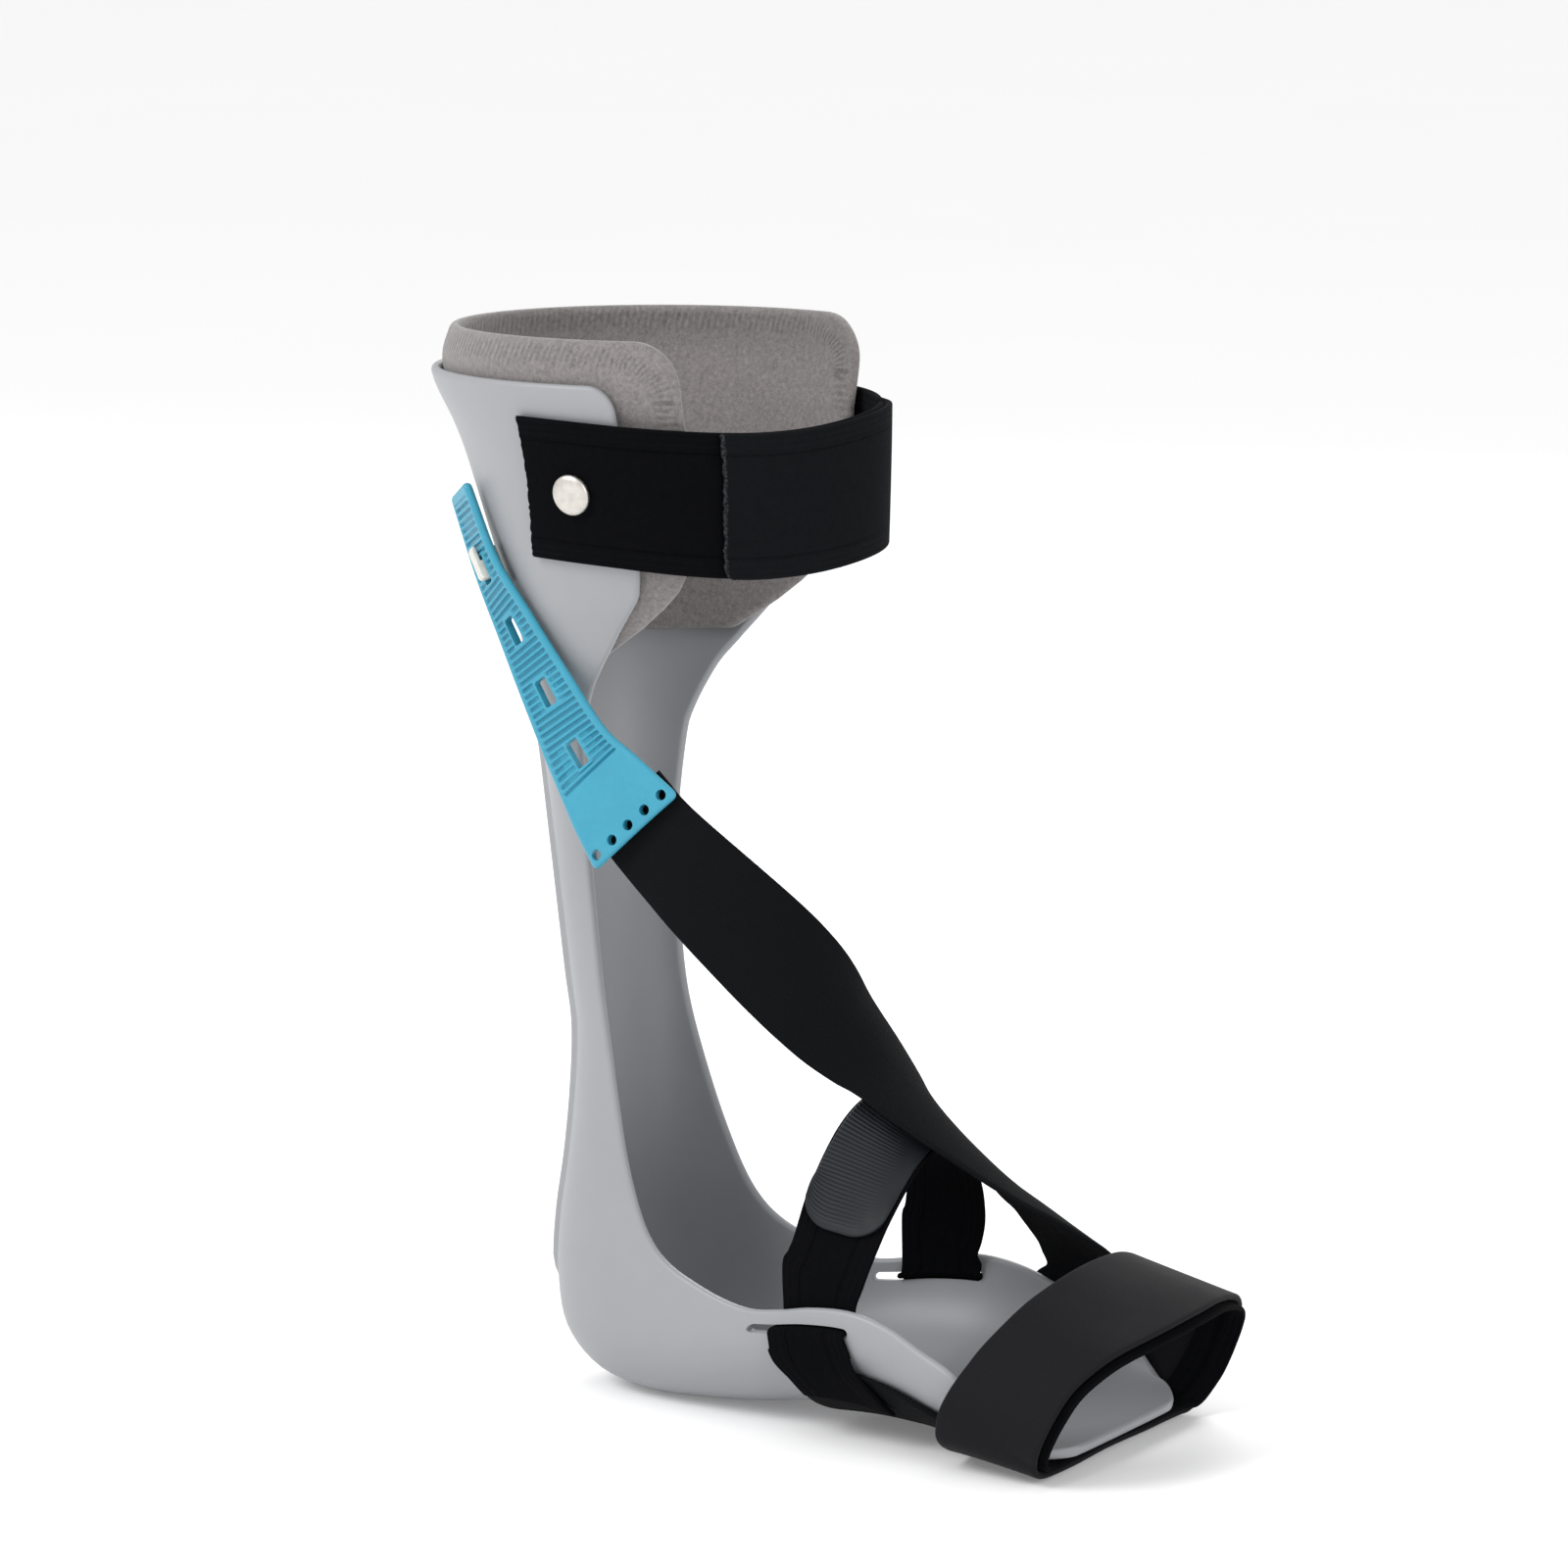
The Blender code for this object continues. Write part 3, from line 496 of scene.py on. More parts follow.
# %% A finish, its places and its noise
class Finish:
    def __init__(self, name, **constants):
        self.material = bpy.data.materials.new(name)
        self.material.use_nodes = True
        self.tree = self.material.node_tree
        self.shader = self.tree.nodes["Principled BSDF"]
        for key, value in constants.items():
            self.shader.inputs[key.replace("_", " ")].default_value = value
        self.any = Value(self.tree, None)
        self.place = Value(self.tree, self.tree.nodes.new("ShaderNodeNewGeometry").outputs[0])
        parts = self.any.node("ShaderNodeSeparateXYZ", Vector=self.place)
        self.x, self.y, self.z = (Value(self.tree, socket) for socket in parts.outputs)

    def weave_places(self, layer="weave"):
        """Distances along and across a strap, in metres, kept on its mesh as a UV map."""
        made = self.any.node("ShaderNodeUVMap", {"uv_map": layer})
        parts = self.any.node("ShaderNodeSeparateXYZ", Vector=Value(self.tree, made.outputs[0]))
        return [Value(self.tree, socket) for socket in parts.outputs[:2]]

    def noise(self, scale, detail=2.0, rough=0.5):
        made = self.any.node(
            "ShaderNodeTexNoise", Vector=self.place, Scale=scale, Detail=detail, Roughness=rough
        )
        return Value(self.tree, made.outputs[0])

    def wear(self, colour=None, rough=None, bump=None, metres=0.0002, strength=0.6):
        if colour:
            self.tree.links.new(colour.socket, self.shader.inputs["Base Color"])
        if rough:
            self.tree.links.new(rough.socket, self.shader.inputs["Roughness"])
        if bump:
            made = self.any.node(
                "ShaderNodeBump", Height=bump, Distance=metres, Strength=strength
            )
            self.tree.links.new(made.outputs[0], self.shader.inputs["Normal"])
        return self.material


print("shader helpers ready")

# %% [markdown]
# ## The shell's plastic
#
# The leaf is moulded polypropylene: a cool light grey with a satin face. A
# real one is never quite even. The colour drifts a little over the
# length of a hand, the gloss changes where it was handled, and a faint
# orange-peel from the mould breaks up the highlights.

# %% Finish of the shell
plastic = Finish("shell_plastic", Roughness=0.42, Specular_IOR_Level=0.45)
drift = plastic.noise(18, 3)
peel = plastic.noise(900, 2, 0.4)
shell_finish = plastic.wear(
    colour=(drift * 0.7 + plastic.noise(160, 3) * 0.3).tint(
        (0.246, 0.252, 0.265), (0.290, 0.296, 0.309)),
    rough=0.36 + plastic.noise(40, 4, 0.6) * 0.16,
    bump=peel + plastic.noise(70, 2) * 2,
    metres=0.00005,
    strength=0.35,
)

# %% [markdown]
# ## The shell
#
# The grid runs from the lip to the toe edge. Its rows crowd at both ends and
# its columns at the trimmed sides, so the rim is round all the way. A raised
# rib with soft shoulders stiffens the back of the leaf, and dies out at the
# neck and at the heel. The two slots for the instep strap are cut last, by a
# curved slab that follows the wall.

# %% Trim lines and the rib
RIB_HALF, RIB_RISE, RIB_SHOULDER = 0.0138, 0.002, 0.0011
LIP_CORNER, TOE_CORNER = 0.008, 0.022


def shell_edge(place):
    form = between(FORM, place)
    from_lip, to_toe = (1 - form[1]) * HEIGHT, (FORM[TOE][0] - form[0]) * LENGTH
    end = rounded(edge_arc(place, SHELL_EDGE), max(from_lip, 0), LIP_CORNER)
    return rounded(end, max(to_toe, 0), TOE_CORNER)


def rib(place, arcs):
    if place > FOOT_START:
        return 0 * arcs
    level = between(FORM, place)[1]
    ends = ease(0, 1, (0.80 - level) / 0.10) * ease(0, 1, (level - 0.095) / 0.02)
    inside = RIB_HALF + RIB_SHOULDER - abs(arcs)
    return RIB_RISE * ends * ease(0, 1, inside / (2 * RIB_SHOULDER))


# %% Loft the shell
lip_step = SHELL_HALF / abs(LEVELS[40] - LEVELS[80])
toe_step = SHELL_HALF / abs(REACHES[-1] - REACHES[-41])
places = np.unique(np.concatenate((
    with_rim(LIP, TOE, lip_step, 150, toe_step),
    LIP + np.linspace(0, 0.6, 12)[1:],
    TOE - np.linspace(0, 3.2, 22)[1:],
)))
near_rib = np.concatenate((
    np.linspace(0, 0.0118, 5), np.linspace(0.0128, 0.0150, 6), [0.0162]
))


def shell_arcs(end):
    wall = np.linspace(near_rib[-1], end - SHELL_HALF, 22)[1:]
    half = np.concatenate((near_rib, wall, (end - SHELL_HALF * RIM[:-1])[::-1]))
    return np.concatenate((-half[:0:-1], half))


form = np.array([between(FORM, place) for place in places])
ends = np.array([shell_edge(place) for place in places])
arcs = np.array([shell_arcs(end) for end in ends])
ribs = np.array([rib(place, row) for place, row in zip(places, arcs)])
from_lip = abs(form[:, 3] - FORM[LIP][3]) * HEIGHT
from_toe = abs(FORM[TOE][2] - form[:, 2]) * LENGTH
swell = SHELL_HALF * roundness(np.minimum(from_lip, from_toe), SHELL_HALF)[:, None]
swell = swell * roundness(ends[:, None] - abs(arcs), SHELL_HALF)
outer, inner = two_faces(places, arcs, ribs - SHELL_HALF + swell, -SHELL_HALF - swell)
outer[:, :, 2] = np.maximum(outer[:, :, 2], 0)
shell = skin("moulded_shell", outer, inner, shell_finish, ["shell"])
print("shell", len(shell.data.polygons), "faces")


# %% Cut the slots for the instep strap
def carve(piece, corners, faces):
    cutter = mesh_of("cutter", corners, faces, piece.data.materials[0], (), 1e-7, False)
    cut = piece.modifiers.new("cut", "BOOLEAN")
    cut.object, cut.operation, cut.solver = cutter, "DIFFERENCE", "EXACT"
    bpy.context.view_layer.update()
    graph = bpy.context.evaluated_depsgraph_get()
    kept = bpy.data.meshes.new_from_object(piece.evaluated_get(graph))
    piece.modifiers.clear()
    piece.data = kept
    bpy.data.objects.remove(cutter)
    kept.shade_smooth()
    kept.set_sharp_from_angle(angle=math.radians(50))


def slot_cutter(side):
    """A slab through the wall, with round ends, that follows the trimmed edge."""
    half, tall = SLOT_LENGTH / 2, SLOT_GAP / 2
    spots = half * np.sin(np.linspace(-math.pi / 2, math.pi / 2, 25))
    faces_out, faces_in = [], []
    for spot in spots:
        up = tall * float(roundness(half - abs(spot), tall)) + 1e-5
        place = at_reach(SLOT_REACH + spot)
        end = edge_arc(place, SHELL_EDGE)
        arcs = [side * (end - SLOT_DROP + share * up) for share in (-1, 1)]
        faces_out.append([above(place, arc, CLEAR) for arc in arcs])
        faces_in.append([above(place, arc, -SHELL_THICK - CLEAR) for arc in arcs])
    count = len(spots)
    index = np.arange(4 * count).reshape(2, count, 2)
    quads = []
    for spot in range(count - 1):
        a, b = index[:, spot], index[:, spot + 1]
        quads += [(a[0, 0], a[0, 1], b[0, 1], b[0, 0]), (a[1, 1], a[1, 0], b[1, 0], b[1, 1])]
        quads += [(a[0, 1], a[1, 1], b[1, 1], b[0, 1]), (a[1, 0], a[0, 0], b[0, 0], b[1, 0])]
    for spot in (0, count - 1):
        a = index[:, spot]
        quads.append((a[0, 0], a[0, 1], a[1, 1], a[1, 0]))
    corners = np.array([faces_out, faces_in]).reshape(-1, 3)
    return corners, [tuple(int(corner) for corner in quad) for quad in quads]


CLEAR = 0.004
for side in (-1, 1):
    carve(shell, *slot_cutter(side))
settle(shell)

# %% [markdown]
# ## The pad's cloth
#
# The cuff is lined with foam in a heathered grey knit. Light and dark fibres
# mix at the size of a stitch, so the colour is a fine noise and not a flat
# grey. Round its top an overcast seam pulls the cloth into short ridges, side
# by side and square to the edge.

# %% Finish of the pad
knit = Finish("pad_fabric", Roughness=0.95, Sheen_Weight=0.35, Sheen_Roughness=0.5,
              Specular_IOR_Level=0.2)
along, across = knit.weave_places()
fibres = knit.noise(2600, 3, 0.7)
heather = knit.noise(750, 4, 0.75) * 0.6 + fibres * 0.4
band = across.above(0.0022, 0.0012) * (1 - across.above(0.0078, 0.002))
ridges = along.wave(0.0021, knit.noise(260, 2) * 3.0)
# Painted shade: inside the seam band the valleys between the ridges are coloured darker.
pad_finish = knit.wear(
    colour=((heather - 0.5) * 2.4 + 0.5 - band * (1 - ridges) * 0.2).tint(
        (0.094, 0.086, 0.084), (0.288, 0.266, 0.262)),
    bump=heather * 0.35 + fibres * 0.3 + ridges * band * 0.4,
    metres=0.0006,
    strength=0.8,
)

# %% [markdown]
# ## The pad
#
# The foam stands a little above the plastic and reaches further round the
# leg. It is made on the shell's own sections, a small gap inside the
# wall. The edge is thinner than the middle, because the seam squeezes it.

# %% Make the pad
PAD_TOP, PAD_LOW, PAD_GAP = 1.042 * HEIGHT, 0.724 * HEIGHT, 0.0007
PAD_CORNER, SEAM_CORNER = 0.014, 0.018
drops = with_rim(0, PAD_TOP - PAD_LOW, PAD_HALF, 64)
drops = np.unique(np.concatenate((drops, np.linspace(0.0005, PAD_CORNER, 14))))
places = [at_height(PAD_TOP - drop) for drop in drops]
pad_ends = np.array([
    rounded(edge_arc(place, PAD_EDGE),
            max(PAD_TOP - between(FORM, place)[1] * HEIGHT, 0), PAD_CORNER)
    for place in places
])
arcs = np.array([with_rim(-end, end, PAD_HALF, 76) for end in pad_ends])
from_ends = np.minimum(drops, PAD_TOP - PAD_LOW - drops)[:, None]
from_sides = pad_ends[:, None] - abs(arcs)
swell = PAD_HALF * roundness(from_ends, PAD_HALF) * roundness(from_sides, PAD_HALF)
swell = swell * (0.72 + 0.28 * ease(0, 1, np.minimum(from_ends, from_sides) / 0.009))
middle = -SHELL_THICK - PAD_GAP - PAD_HALF
outer, inner = two_faces(places, arcs, middle + swell, middle - swell)
pad = skin("cuff_pad", outer, inner, pad_finish, ["calf_pad"])


# %% Keep each corner's place along and inside the pad's edge
def pad_rim(point):
    """Distance along the pad's outline and distance inside it; the seam fades down the sides."""
    drop = PAD_TOP - point[2]
    place = at_height(point[2])
    spine_x, _, side_x, _, half, _ = between(FORM, place)
    turn = math.atan2(abs(point[1]) / (half * WIDTH),
                      (side_x * LENGTH - point[0]) / ((side_x - spine_x) * LENGTH))
    arc = float(np.interp(math.degrees(turn), TURNS, section(round(place, 3))[1]))
    end = float(np.interp(drop, drops, pad_ends))
    inward = end - arc
    if max(drop, inward) < SEAM_CORNER:
        below, beside = SEAM_CORNER - drop, SEAM_CORNER - inward
        run = end - SEAM_CORNER + math.atan2(beside, below) * SEAM_CORNER
        return run, max(SEAM_CORNER - math.hypot(below, beside), 0)
    if inward < drop:
        return drop, max(inward + 0.009 * ease(0, 1, (drop - 0.016) / 0.03), 0)
    return arc, max(drop, 0)


keep_places(pad.data, "weave", [pad_rim(vertex.co) for vertex in pad.data.vertices])
settle(pad)

# %% [markdown]
# ## Black loop pile
#
# The calf strap and the instep strap are brushed loop cloth, the soft half
# of a hook fastener. It is nearly black and drinks the light. What shows is a
# short nap with a faint sheen, and a smoother woven selvedge along both
# sides, where two or three ribs run with the strap.

# %% Finishes of the pile straps
SELVEDGE = 0.0062


def pile_cloth(name, dark, light, ribbed_start=0.0, hooked_start=0.0):
    """Loop pile with ribbed selvedges, the rib crests painted lighter as highlight and the groove
    inside them painted darker as shade; its start can be ribbed or show a line of pale hooks.
    """
    pile = Finish(name, Roughness=0.98, Sheen_Weight=0.005, Sheen_Roughness=0.4,
                  Specular_IOR_Level=0.03)
    along, across = pile.weave_places()
    nap = pile.noise(1900, 3, 0.7)
    clumps = pile.noise(420, 3, 0.6)
    selvedge = 1 - across.above(SELVEDGE, 0.0006)
    ribs = across.wave(0.0019)
    groove = 1 - (across - SELVEDGE).size().above(0.0004, 0.0003)
    raised = selvedge * ribs * 0.9
    if ribbed_start:
        raised = raised + selvedge * (1 - along.above(ribbed_start, 0.0015)) * ribs * 1.6
    # Painted highlight and shade: rib crests are coloured lighter, and the groove at the
    # selvedge's inner edge is coloured darker.
    cloth = (nap * 0.5 + clumps * 0.5 + raised * 0.14 - groove * 0.35).tint(dark, light)
    if hooked_start:
        edge = (along + nap * 0.0014 + clumps * 0.0022).size()
        hooks = (1 - edge.above(hooked_start, 0.0004)) * fibrous(pile)
        cloth = hooks.blend(cloth, (0.042, 0.042, 0.046))
    return pile.wear(
        colour=cloth,
        bump=nap * 0.5 + clumps * 0.5 + raised - groove * 0.8,
        metres=0.00035,
        strength=0.6,
    )


def fibrous(finish):
    return finish.noise(1500, 3, 0.8).above(0.5, 0.12)


BLACK, SOFT_BLACK = (0.0012, 0.0013, 0.0017), (0.0042, 0.0044, 0.0054)
pile_finish = pile_cloth("velvet_strap", BLACK, SOFT_BLACK)
cut_pile_finish = pile_cloth("velvet_cut_end", BLACK, SOFT_BLACK, ribbed_start=0.013)
closing_finish = pile_cloth(
    "velvet_closing", (0.0034, 0.0037, 0.0044), (0.0085, 0.009, 0.0104), hooked_start=0.0027)
print("three pile finishes")

# %% [markdown]
# ## The calf strap
#
# Two lengths meet on the outer side of the shin. The lower one is riveted
# to the cuff on the outer side, and its cut end is frayed. The upper one comes
# from the inner side, round the front, and closes over the lower one.
# Both are built in turns round the leg, so they lie on the cuff's own
# sections until they leave it.


# %% Points round the calf
def round_calf(turn, level, rise):
    """A point round the leg, on the cuff's sections behind and drawn in towards the front."""
    turn = turn % 360
    from_back = min(turn, 360 - turn)
    forward = ease(0, 1, (from_back - 100) / 45)
    level_there = level + (STRAP_LEVEL - level) * forward * 0.85
    place = at_height(level_there)
    spine_x, _, side_x, _, half, _ = between(FORM, place)
    depth = (side_x - spine_x) * LENGTH
    off = rise + flare(level_there / HEIGHT) - 0.007 * ease(0, 1, (from_back - 106) / 44)
    angle = math.radians(turn)
    return np.array((
        side_x * LENGTH - (depth + off) * math.cos(angle),
        -(half * WIDTH + off) * math.sin(angle),
        level - 0.0042 * math.exp(-(((turn - 142) / 38) ** 2)),
    ))


def calf_grid(turns, rises, shares, slant):
    """Rows of points round the leg; the lower corner of the first row lies slant degrees back."""
    rows = []
    for turn, rise in zip(turns, rises):
        lean = slant * ((turns[-1] - turn) / (turns[-1] - turns[0])) ** 4
        rows.append([
            round_calf(turn - lean * (1 - share) / 2, STRAP_LEVEL + share * STRAP_WIDTH / 2, rise)
            for share in shares
        ])
    return np.array(rows)


print("front of the strap at", [round(x, 3) for x in round_calf(180, STRAP_LEVEL, 0.001)])


# %% Make the calf strap's two lengths
random.seed(7)
shares, sides = shares_across(STRAP_WIDTH, STRAP_THICK, 44)
UNDER, STACK, CALF_RADIUS = GAP + STRAP_THICK / 2, STRAP_THICK + GAP, 0.06


def calf_length(name, turns, rise_at, node, finish, slant=0, fray=0.0, corner=0.0):
    """A length of the strap, ragged at its first end and, if asked, round at its lower corner."""
    middle = calf_grid(turns, [rise_at(turn) for turn in turns], shares, slant)
    jag = np.array([random.uniform(-0.4, 1) for _ in shares])
    row = np.arange(len(turns))[:, None]
    amount = fray * jag * np.clip(1 - row / 11, 0, 1) ** 2
    if corner:
        pull = corner_pull(sides, corner) * (shares < 0)
        amount = amount + pull * np.clip(1 - row / 29, 0, 1) ** 1.5
    middle = draw_in(middle, 0, 8, amount)
    return settle(strap(name, middle, sides, STRAP_THICK, finish, [node]))


def turns_between(low, high, count):
    rim = np.degrees(STRAP_THICK / 2 / CALF_RADIUS) * RIM[:-1]
    inner = np.linspace(low + rim[-1] * 1.35, high - rim[-1] * 1.35, count)
    return np.concatenate((low + rim, inner, (high - rim)[::-1]))


calf_length(
    "calf_strap_outer_length", turns_between(79, 207, 150), lambda turn: UNDER,
    "calf_strap_lateral", cut_pile_finish, slant=8, fray=0.0009,
)
calf_length(
    "calf_strap_closing_length", turns_between(129.5, 285, 170),
    lambda turn: UNDER + STACK * (1 - ease(0, 1, (turn - 209) / 12)),
    "calf_strap_medial", closing_finish, fray=0.0006, corner=0.004,
)

# %% [markdown]
# ## Rivets
#
# Each length of the strap is held to the plastic by a hollow rivet with a
# low domed head. Turning a short profile makes it. The head is cast or
# pressed, so its face is a little uneven, and warm in colour.

# %% Finish and shape of the rivets
steel = Finish("rivet_steel", Metallic=0.9, Roughness=0.34)
rivet_finish = steel.wear(
    colour=steel.noise(420, 2).tint((0.42, 0.40, 0.37), (0.70, 0.67, 0.62)),
    rough=0.3 + steel.noise(900, 3) * 0.2,
    bump=steel.noise(420, 2),
    metres=0.0002,
    strength=0.35,
)


def turned(name, profile, sides, finish, point, axes, node_names):
    """A profile of radius and height, turned round the last of three axes."""
    axes = np.array(axes)
    corners, faces = [], []
    for radius, rise in profile:
        for side in range(sides):
            angle = 2 * math.pi * side / sides
            flat = (radius * math.cos(angle), radius * math.sin(angle), rise)
            corners.append(point + np.array(flat) @ axes)
    for ring in range(len(profile) - 1):
        for side in range(sides):
            after = (side + 1) % sides
            faces.append((ring * sides + side, ring * sides + after,
                          (ring + 1) * sides + after, (ring + 1) * sides + side))
    return mesh_of(name, corners, faces, finish, node_names)


def frame_at(point, out, along):
    out = out / np.linalg.norm(out)
    along = along - out * along.dot(out)
    along /= np.linalg.norm(along)
    return point, (along, np.cross(out, along), out)


def rivet(name, side, node):
    turn = 90 if side < 0 else 270
    point = round_calf(turn, STRAP_LEVEL, 0)
    up = round_calf(turn, STRAP_LEVEL + 0.002, 0) - round_calf(turn, STRAP_LEVEL - 0.002, 0)
    along = round_calf(turn + 2, STRAP_LEVEL, 0) - round_calf(turn - 2, STRAP_LEVEL, 0)
    out = np.cross(up, along)
    out *= np.sign(out[1]) * side
    point, axes = frame_at(point, out, up)
    head, tail, radius = STRAP_THICK + 2 * GAP, -SHELL_THICK - 2 * GAP, 0.006
    dome = [(radius * math.cos(a) ** 0.7, head + 0.0005 + 0.0015 * math.sin(a))
            for a in np.radians(np.linspace(0, 89, 14))]
    profile = [(1e-5, tail - 0.0006), (0.0038, tail - 0.0006), (0.004, tail - 0.0004),
               (0.004, tail), (0.002, tail), (0.002, head - 0.0004), (0.0056, head - 0.0004),
               (0.0059, head - 0.0002), (radius, head + 0.0002), *dome, (1e-5, head + 0.002)]
    made = turned(name, profile, 48, rivet_finish, point, axes, [node])
    made.data.set_sharp_from_angle(angle=math.radians(50))
    return settle(made)


rivet("outer_rivet", -1, "rivet_lateral")
rivet("inner_rivet", 1, "rivet_medial")

# %% [markdown]
# ## The ladder strap
#
# A soft blue plastic strip hooks over a stud on the back of the cuff, and
# the slot that is chosen sets how high the toes are held. Fine ribs cross it
# between two smooth borders, and its lower end widens into a smooth
# plate with five round holes, where the elastic strap is sewn on.

# %% Free lengths of strap
LADDER = (
    (-0.289, -0.315, 0.884, -42, 18, 0.145, 0.000),  # free end
    (-0.234, -0.327, 0.810, -36, 20, 0.145, 0.000),  # slot on the stud
    (-0.174, -0.343, 0.755, -21, 24, 0.149, 0.000),
    (-0.113, -0.355, 0.699, -5, 27, 0.161, 0.000),
    (-0.053, -0.363, 0.644, 0, 28, 0.194, 0.000),  # last slot
    (0.000, -0.371, 0.608, 6, 29, 0.242, 0.002),
    (0.055, -0.377, 0.573, 10, 30, 0.282, 0.006),  # stitched end
)
LIFT = (
    (0.020, -0.334, 0.597, 8, 33, 0.230, 0.006),  # under the ladder's stitched end
    (0.076, -0.345, 0.566, 7, 42, 0.240, 0.010),
    (0.149, -0.331, 0.525, 15, 49, 0.255, 0.022),
    (0.229, -0.250, 0.467, 35, 40, 0.266, 0.020),
    (0.282, -0.161, 0.418, 60, 36, 0.266, 0.028),
    (0.332, -0.030, 0.358, 97, 26, 0.266, 0.032),  # over the instep
    (0.416, 0.020, 0.299, 100, -5, 0.266, 0.032),
    (0.516, 0.105, 0.2335, 118, -12, 0.266, 0.026),
    (0.562, 0.198, 0.1955, 138, -9, 0.266, 0.020),
    (0.584, 0.288, 0.1600, 154, -8, 0.262, 0.012),
    (0.588, 0.352, 0.1270, 168, -2, 0.258, 0.004),  # above the inner wall
)
INSTEP = (
    (0.337, -0.287, 0.141, 0, 0, 0.218, 0.000),  # inside the outer wall
    (0.358, -0.270, 0.180, 0, -5, 0.218, 0.000),
    (0.371, -0.210, 0.228, 5, -18, 0.218, 0.004),
    (0.380, -0.105, 0.272, 8, -28, 0.218, 0.008),
    (0.382, 0.008, 0.288, 0, -31, 0.218, 0.008),  # top of the instep
    (0.380, 0.113, 0.274, -8, -28, 0.218, 0.008),
    (0.371, 0.218, 0.234, -5, -18, 0.218, 0.004),
    (0.358, 0.270, 0.180, 0, -5, 0.218, 0.000),
    (0.337, 0.287, 0.141, 0, 0, 0.218, 0.000),  # inside the inner wall
)
BAND = (
    (0.660, 0.000, 0.0042, 0, 0, 0.270, 0),  # under the ball of the foot
    (0.665, -0.210, 0.0046, -2, 0, 0.270, 0),
    (0.668, -0.358, 0.0176, -5, -7, 0.272, 0),
    (0.680, -0.402, 0.0430, -3, -1, 0.268, 0),
    (0.708, -0.402, 0.0780, -2, 1, 0.266, 0),
    (0.738, -0.358, 0.1130, 0, 0, 0.270, 0),
    (0.770, -0.270, 0.1400, 0, -12, 0.274, 0),
    (0.797, -0.129, 0.1560, 0, -20, 0.278, 0),
    (0.805, 0.024, 0.1610, 0, -20, 0.278, 0),  # over the toes' roots
    (0.794, 0.168, 0.1560, 0, -16, 0.274, 0),
    (0.770, 0.326, 0.1345, 3, -12, 0.268, 0),
    (0.736, 0.397, 0.0940, 0, -4, 0.266, 0),
    (0.700, 0.414, 0.0480, 2, 0, 0.266, 0),
    (0.674, 0.362, 0.0150, 5, -3, 0.270, 0),
    (0.665, 0.215, 0.0046, 2, 0, 0.270, 0),
)


def strip(rows, places, shares, ring=False, shift=0.0, widen=1.0):
    """Points at shares of a strap's half width, for each place along its table."""
    grid = []
    for place in places:
        row = between(rows, place, ring)
        ahead = between(rows, place + 0.05, ring) - between(rows, place - 0.05, ring)
        middle = row[:3] * (LENGTH, WIDTH, HEIGHT)
        along = ahead[:3] * (LENGTH, WIDTH, HEIGHT)
        along /= np.linalg.norm(along)
        heading, pitch = np.radians(row[3:5])
        across = np.array((
            math.cos(pitch) * math.cos(heading),
            math.cos(pitch) * math.sin(heading),
            math.sin(pitch),
        ))
        across -= along * across.dot(along)
        across /= np.linalg.norm(across)
        out = np.cross(along, across)
        half, crown = row[5] * WIDTH / 2 * widen, row[6] * WIDTH
        grid.append([
            middle + across * (half * share + shift) - out * crown * (share**2 - 0.4)
            for share in shares
        ])
    return np.array(grid)


print("free strap tables:", len(LADDER), len(LIFT), len(INSTEP), len(BAND), "rows")

# %% Ribs, borders and the plate of the ladder strap
LADDER_THICK, LADDER_SLOT, SLOT_CORNER = 0.0026, (0.0085, 0.0045), 0.0007
SLOT_PLACES = (1, 2, 3, 4)
RIB_PITCH, RIB_DEPTH, BORDER = 0.0021, 0.0007, 0.0019
ladder_places = np.unique(np.concatenate((
    places_along(0, 6, 0.147, LADDER_THICK, 420), np.linspace(0.02, 5.98, 40))))
ladder_shares, ladder_sides = shares_across(0.018, LADDER_THICK, 44)
middle = strip(LADDER, ladder_places, ladder_shares)
widths = np.array([between(LADDER, place)[5] * WIDTH for place in ladder_places])
run = run_of(middle)
ribs_from, ribs_to = np.interp((0.12, 4.5), ladder_places, run)
slot_runs = np.interp(SLOT_PLACES, ladder_places, run)
ribbed = ease(0, 1, (ribs_to - run) / 0.001) * ease(0, 1, (run - ribs_from) / 0.001)
rib_wave = np.clip(0.5 + 0.9 * np.cos(run * 2 * math.pi / RIB_PITCH), 0, 1)
inside = (1 - abs(ladder_shares))[None, :] * widths[:, None] / 2
from_slot = np.maximum(
    abs(run[:, None] - slot_runs[None, :]).min(axis=1)[:, None] - LADDER_SLOT[0] / 2,
    abs(ladder_shares)[None, :] * widths[:, None] / 2 - LADDER_SLOT[1] / 2,
)
relief = -RIB_DEPTH * (ribbed * (1 - rib_wave))[:, None]
relief = relief * np.clip((inside - BORDER) / 0.0003, 0, 1)
relief = relief * np.clip((from_slot - 0.0007) / 0.0003, 0, 1)
facing = -np.sign(normals(middle)[:, :, 1].mean())
for end, ahead in ((0, 14), (-1, -15)):
    fade = np.clip(1 - abs(run - run[end]) / 0.006, 0, 1)[:, None]
    middle = draw_in(middle, end, ahead, corner_pull(inside[end], 0.0022) * fade)

# %% Finish of the ladder strap
blue = Finish("ladder_plastic", Roughness=0.36, Specular_IOR_Level=0.4,
              Subsurface_Weight=0.1, Subsurface_Radius=(0.0006, 0.0012, 0.002),
              Subsurface_Scale=1.0)
along, across = blue.weave_places("ribs")
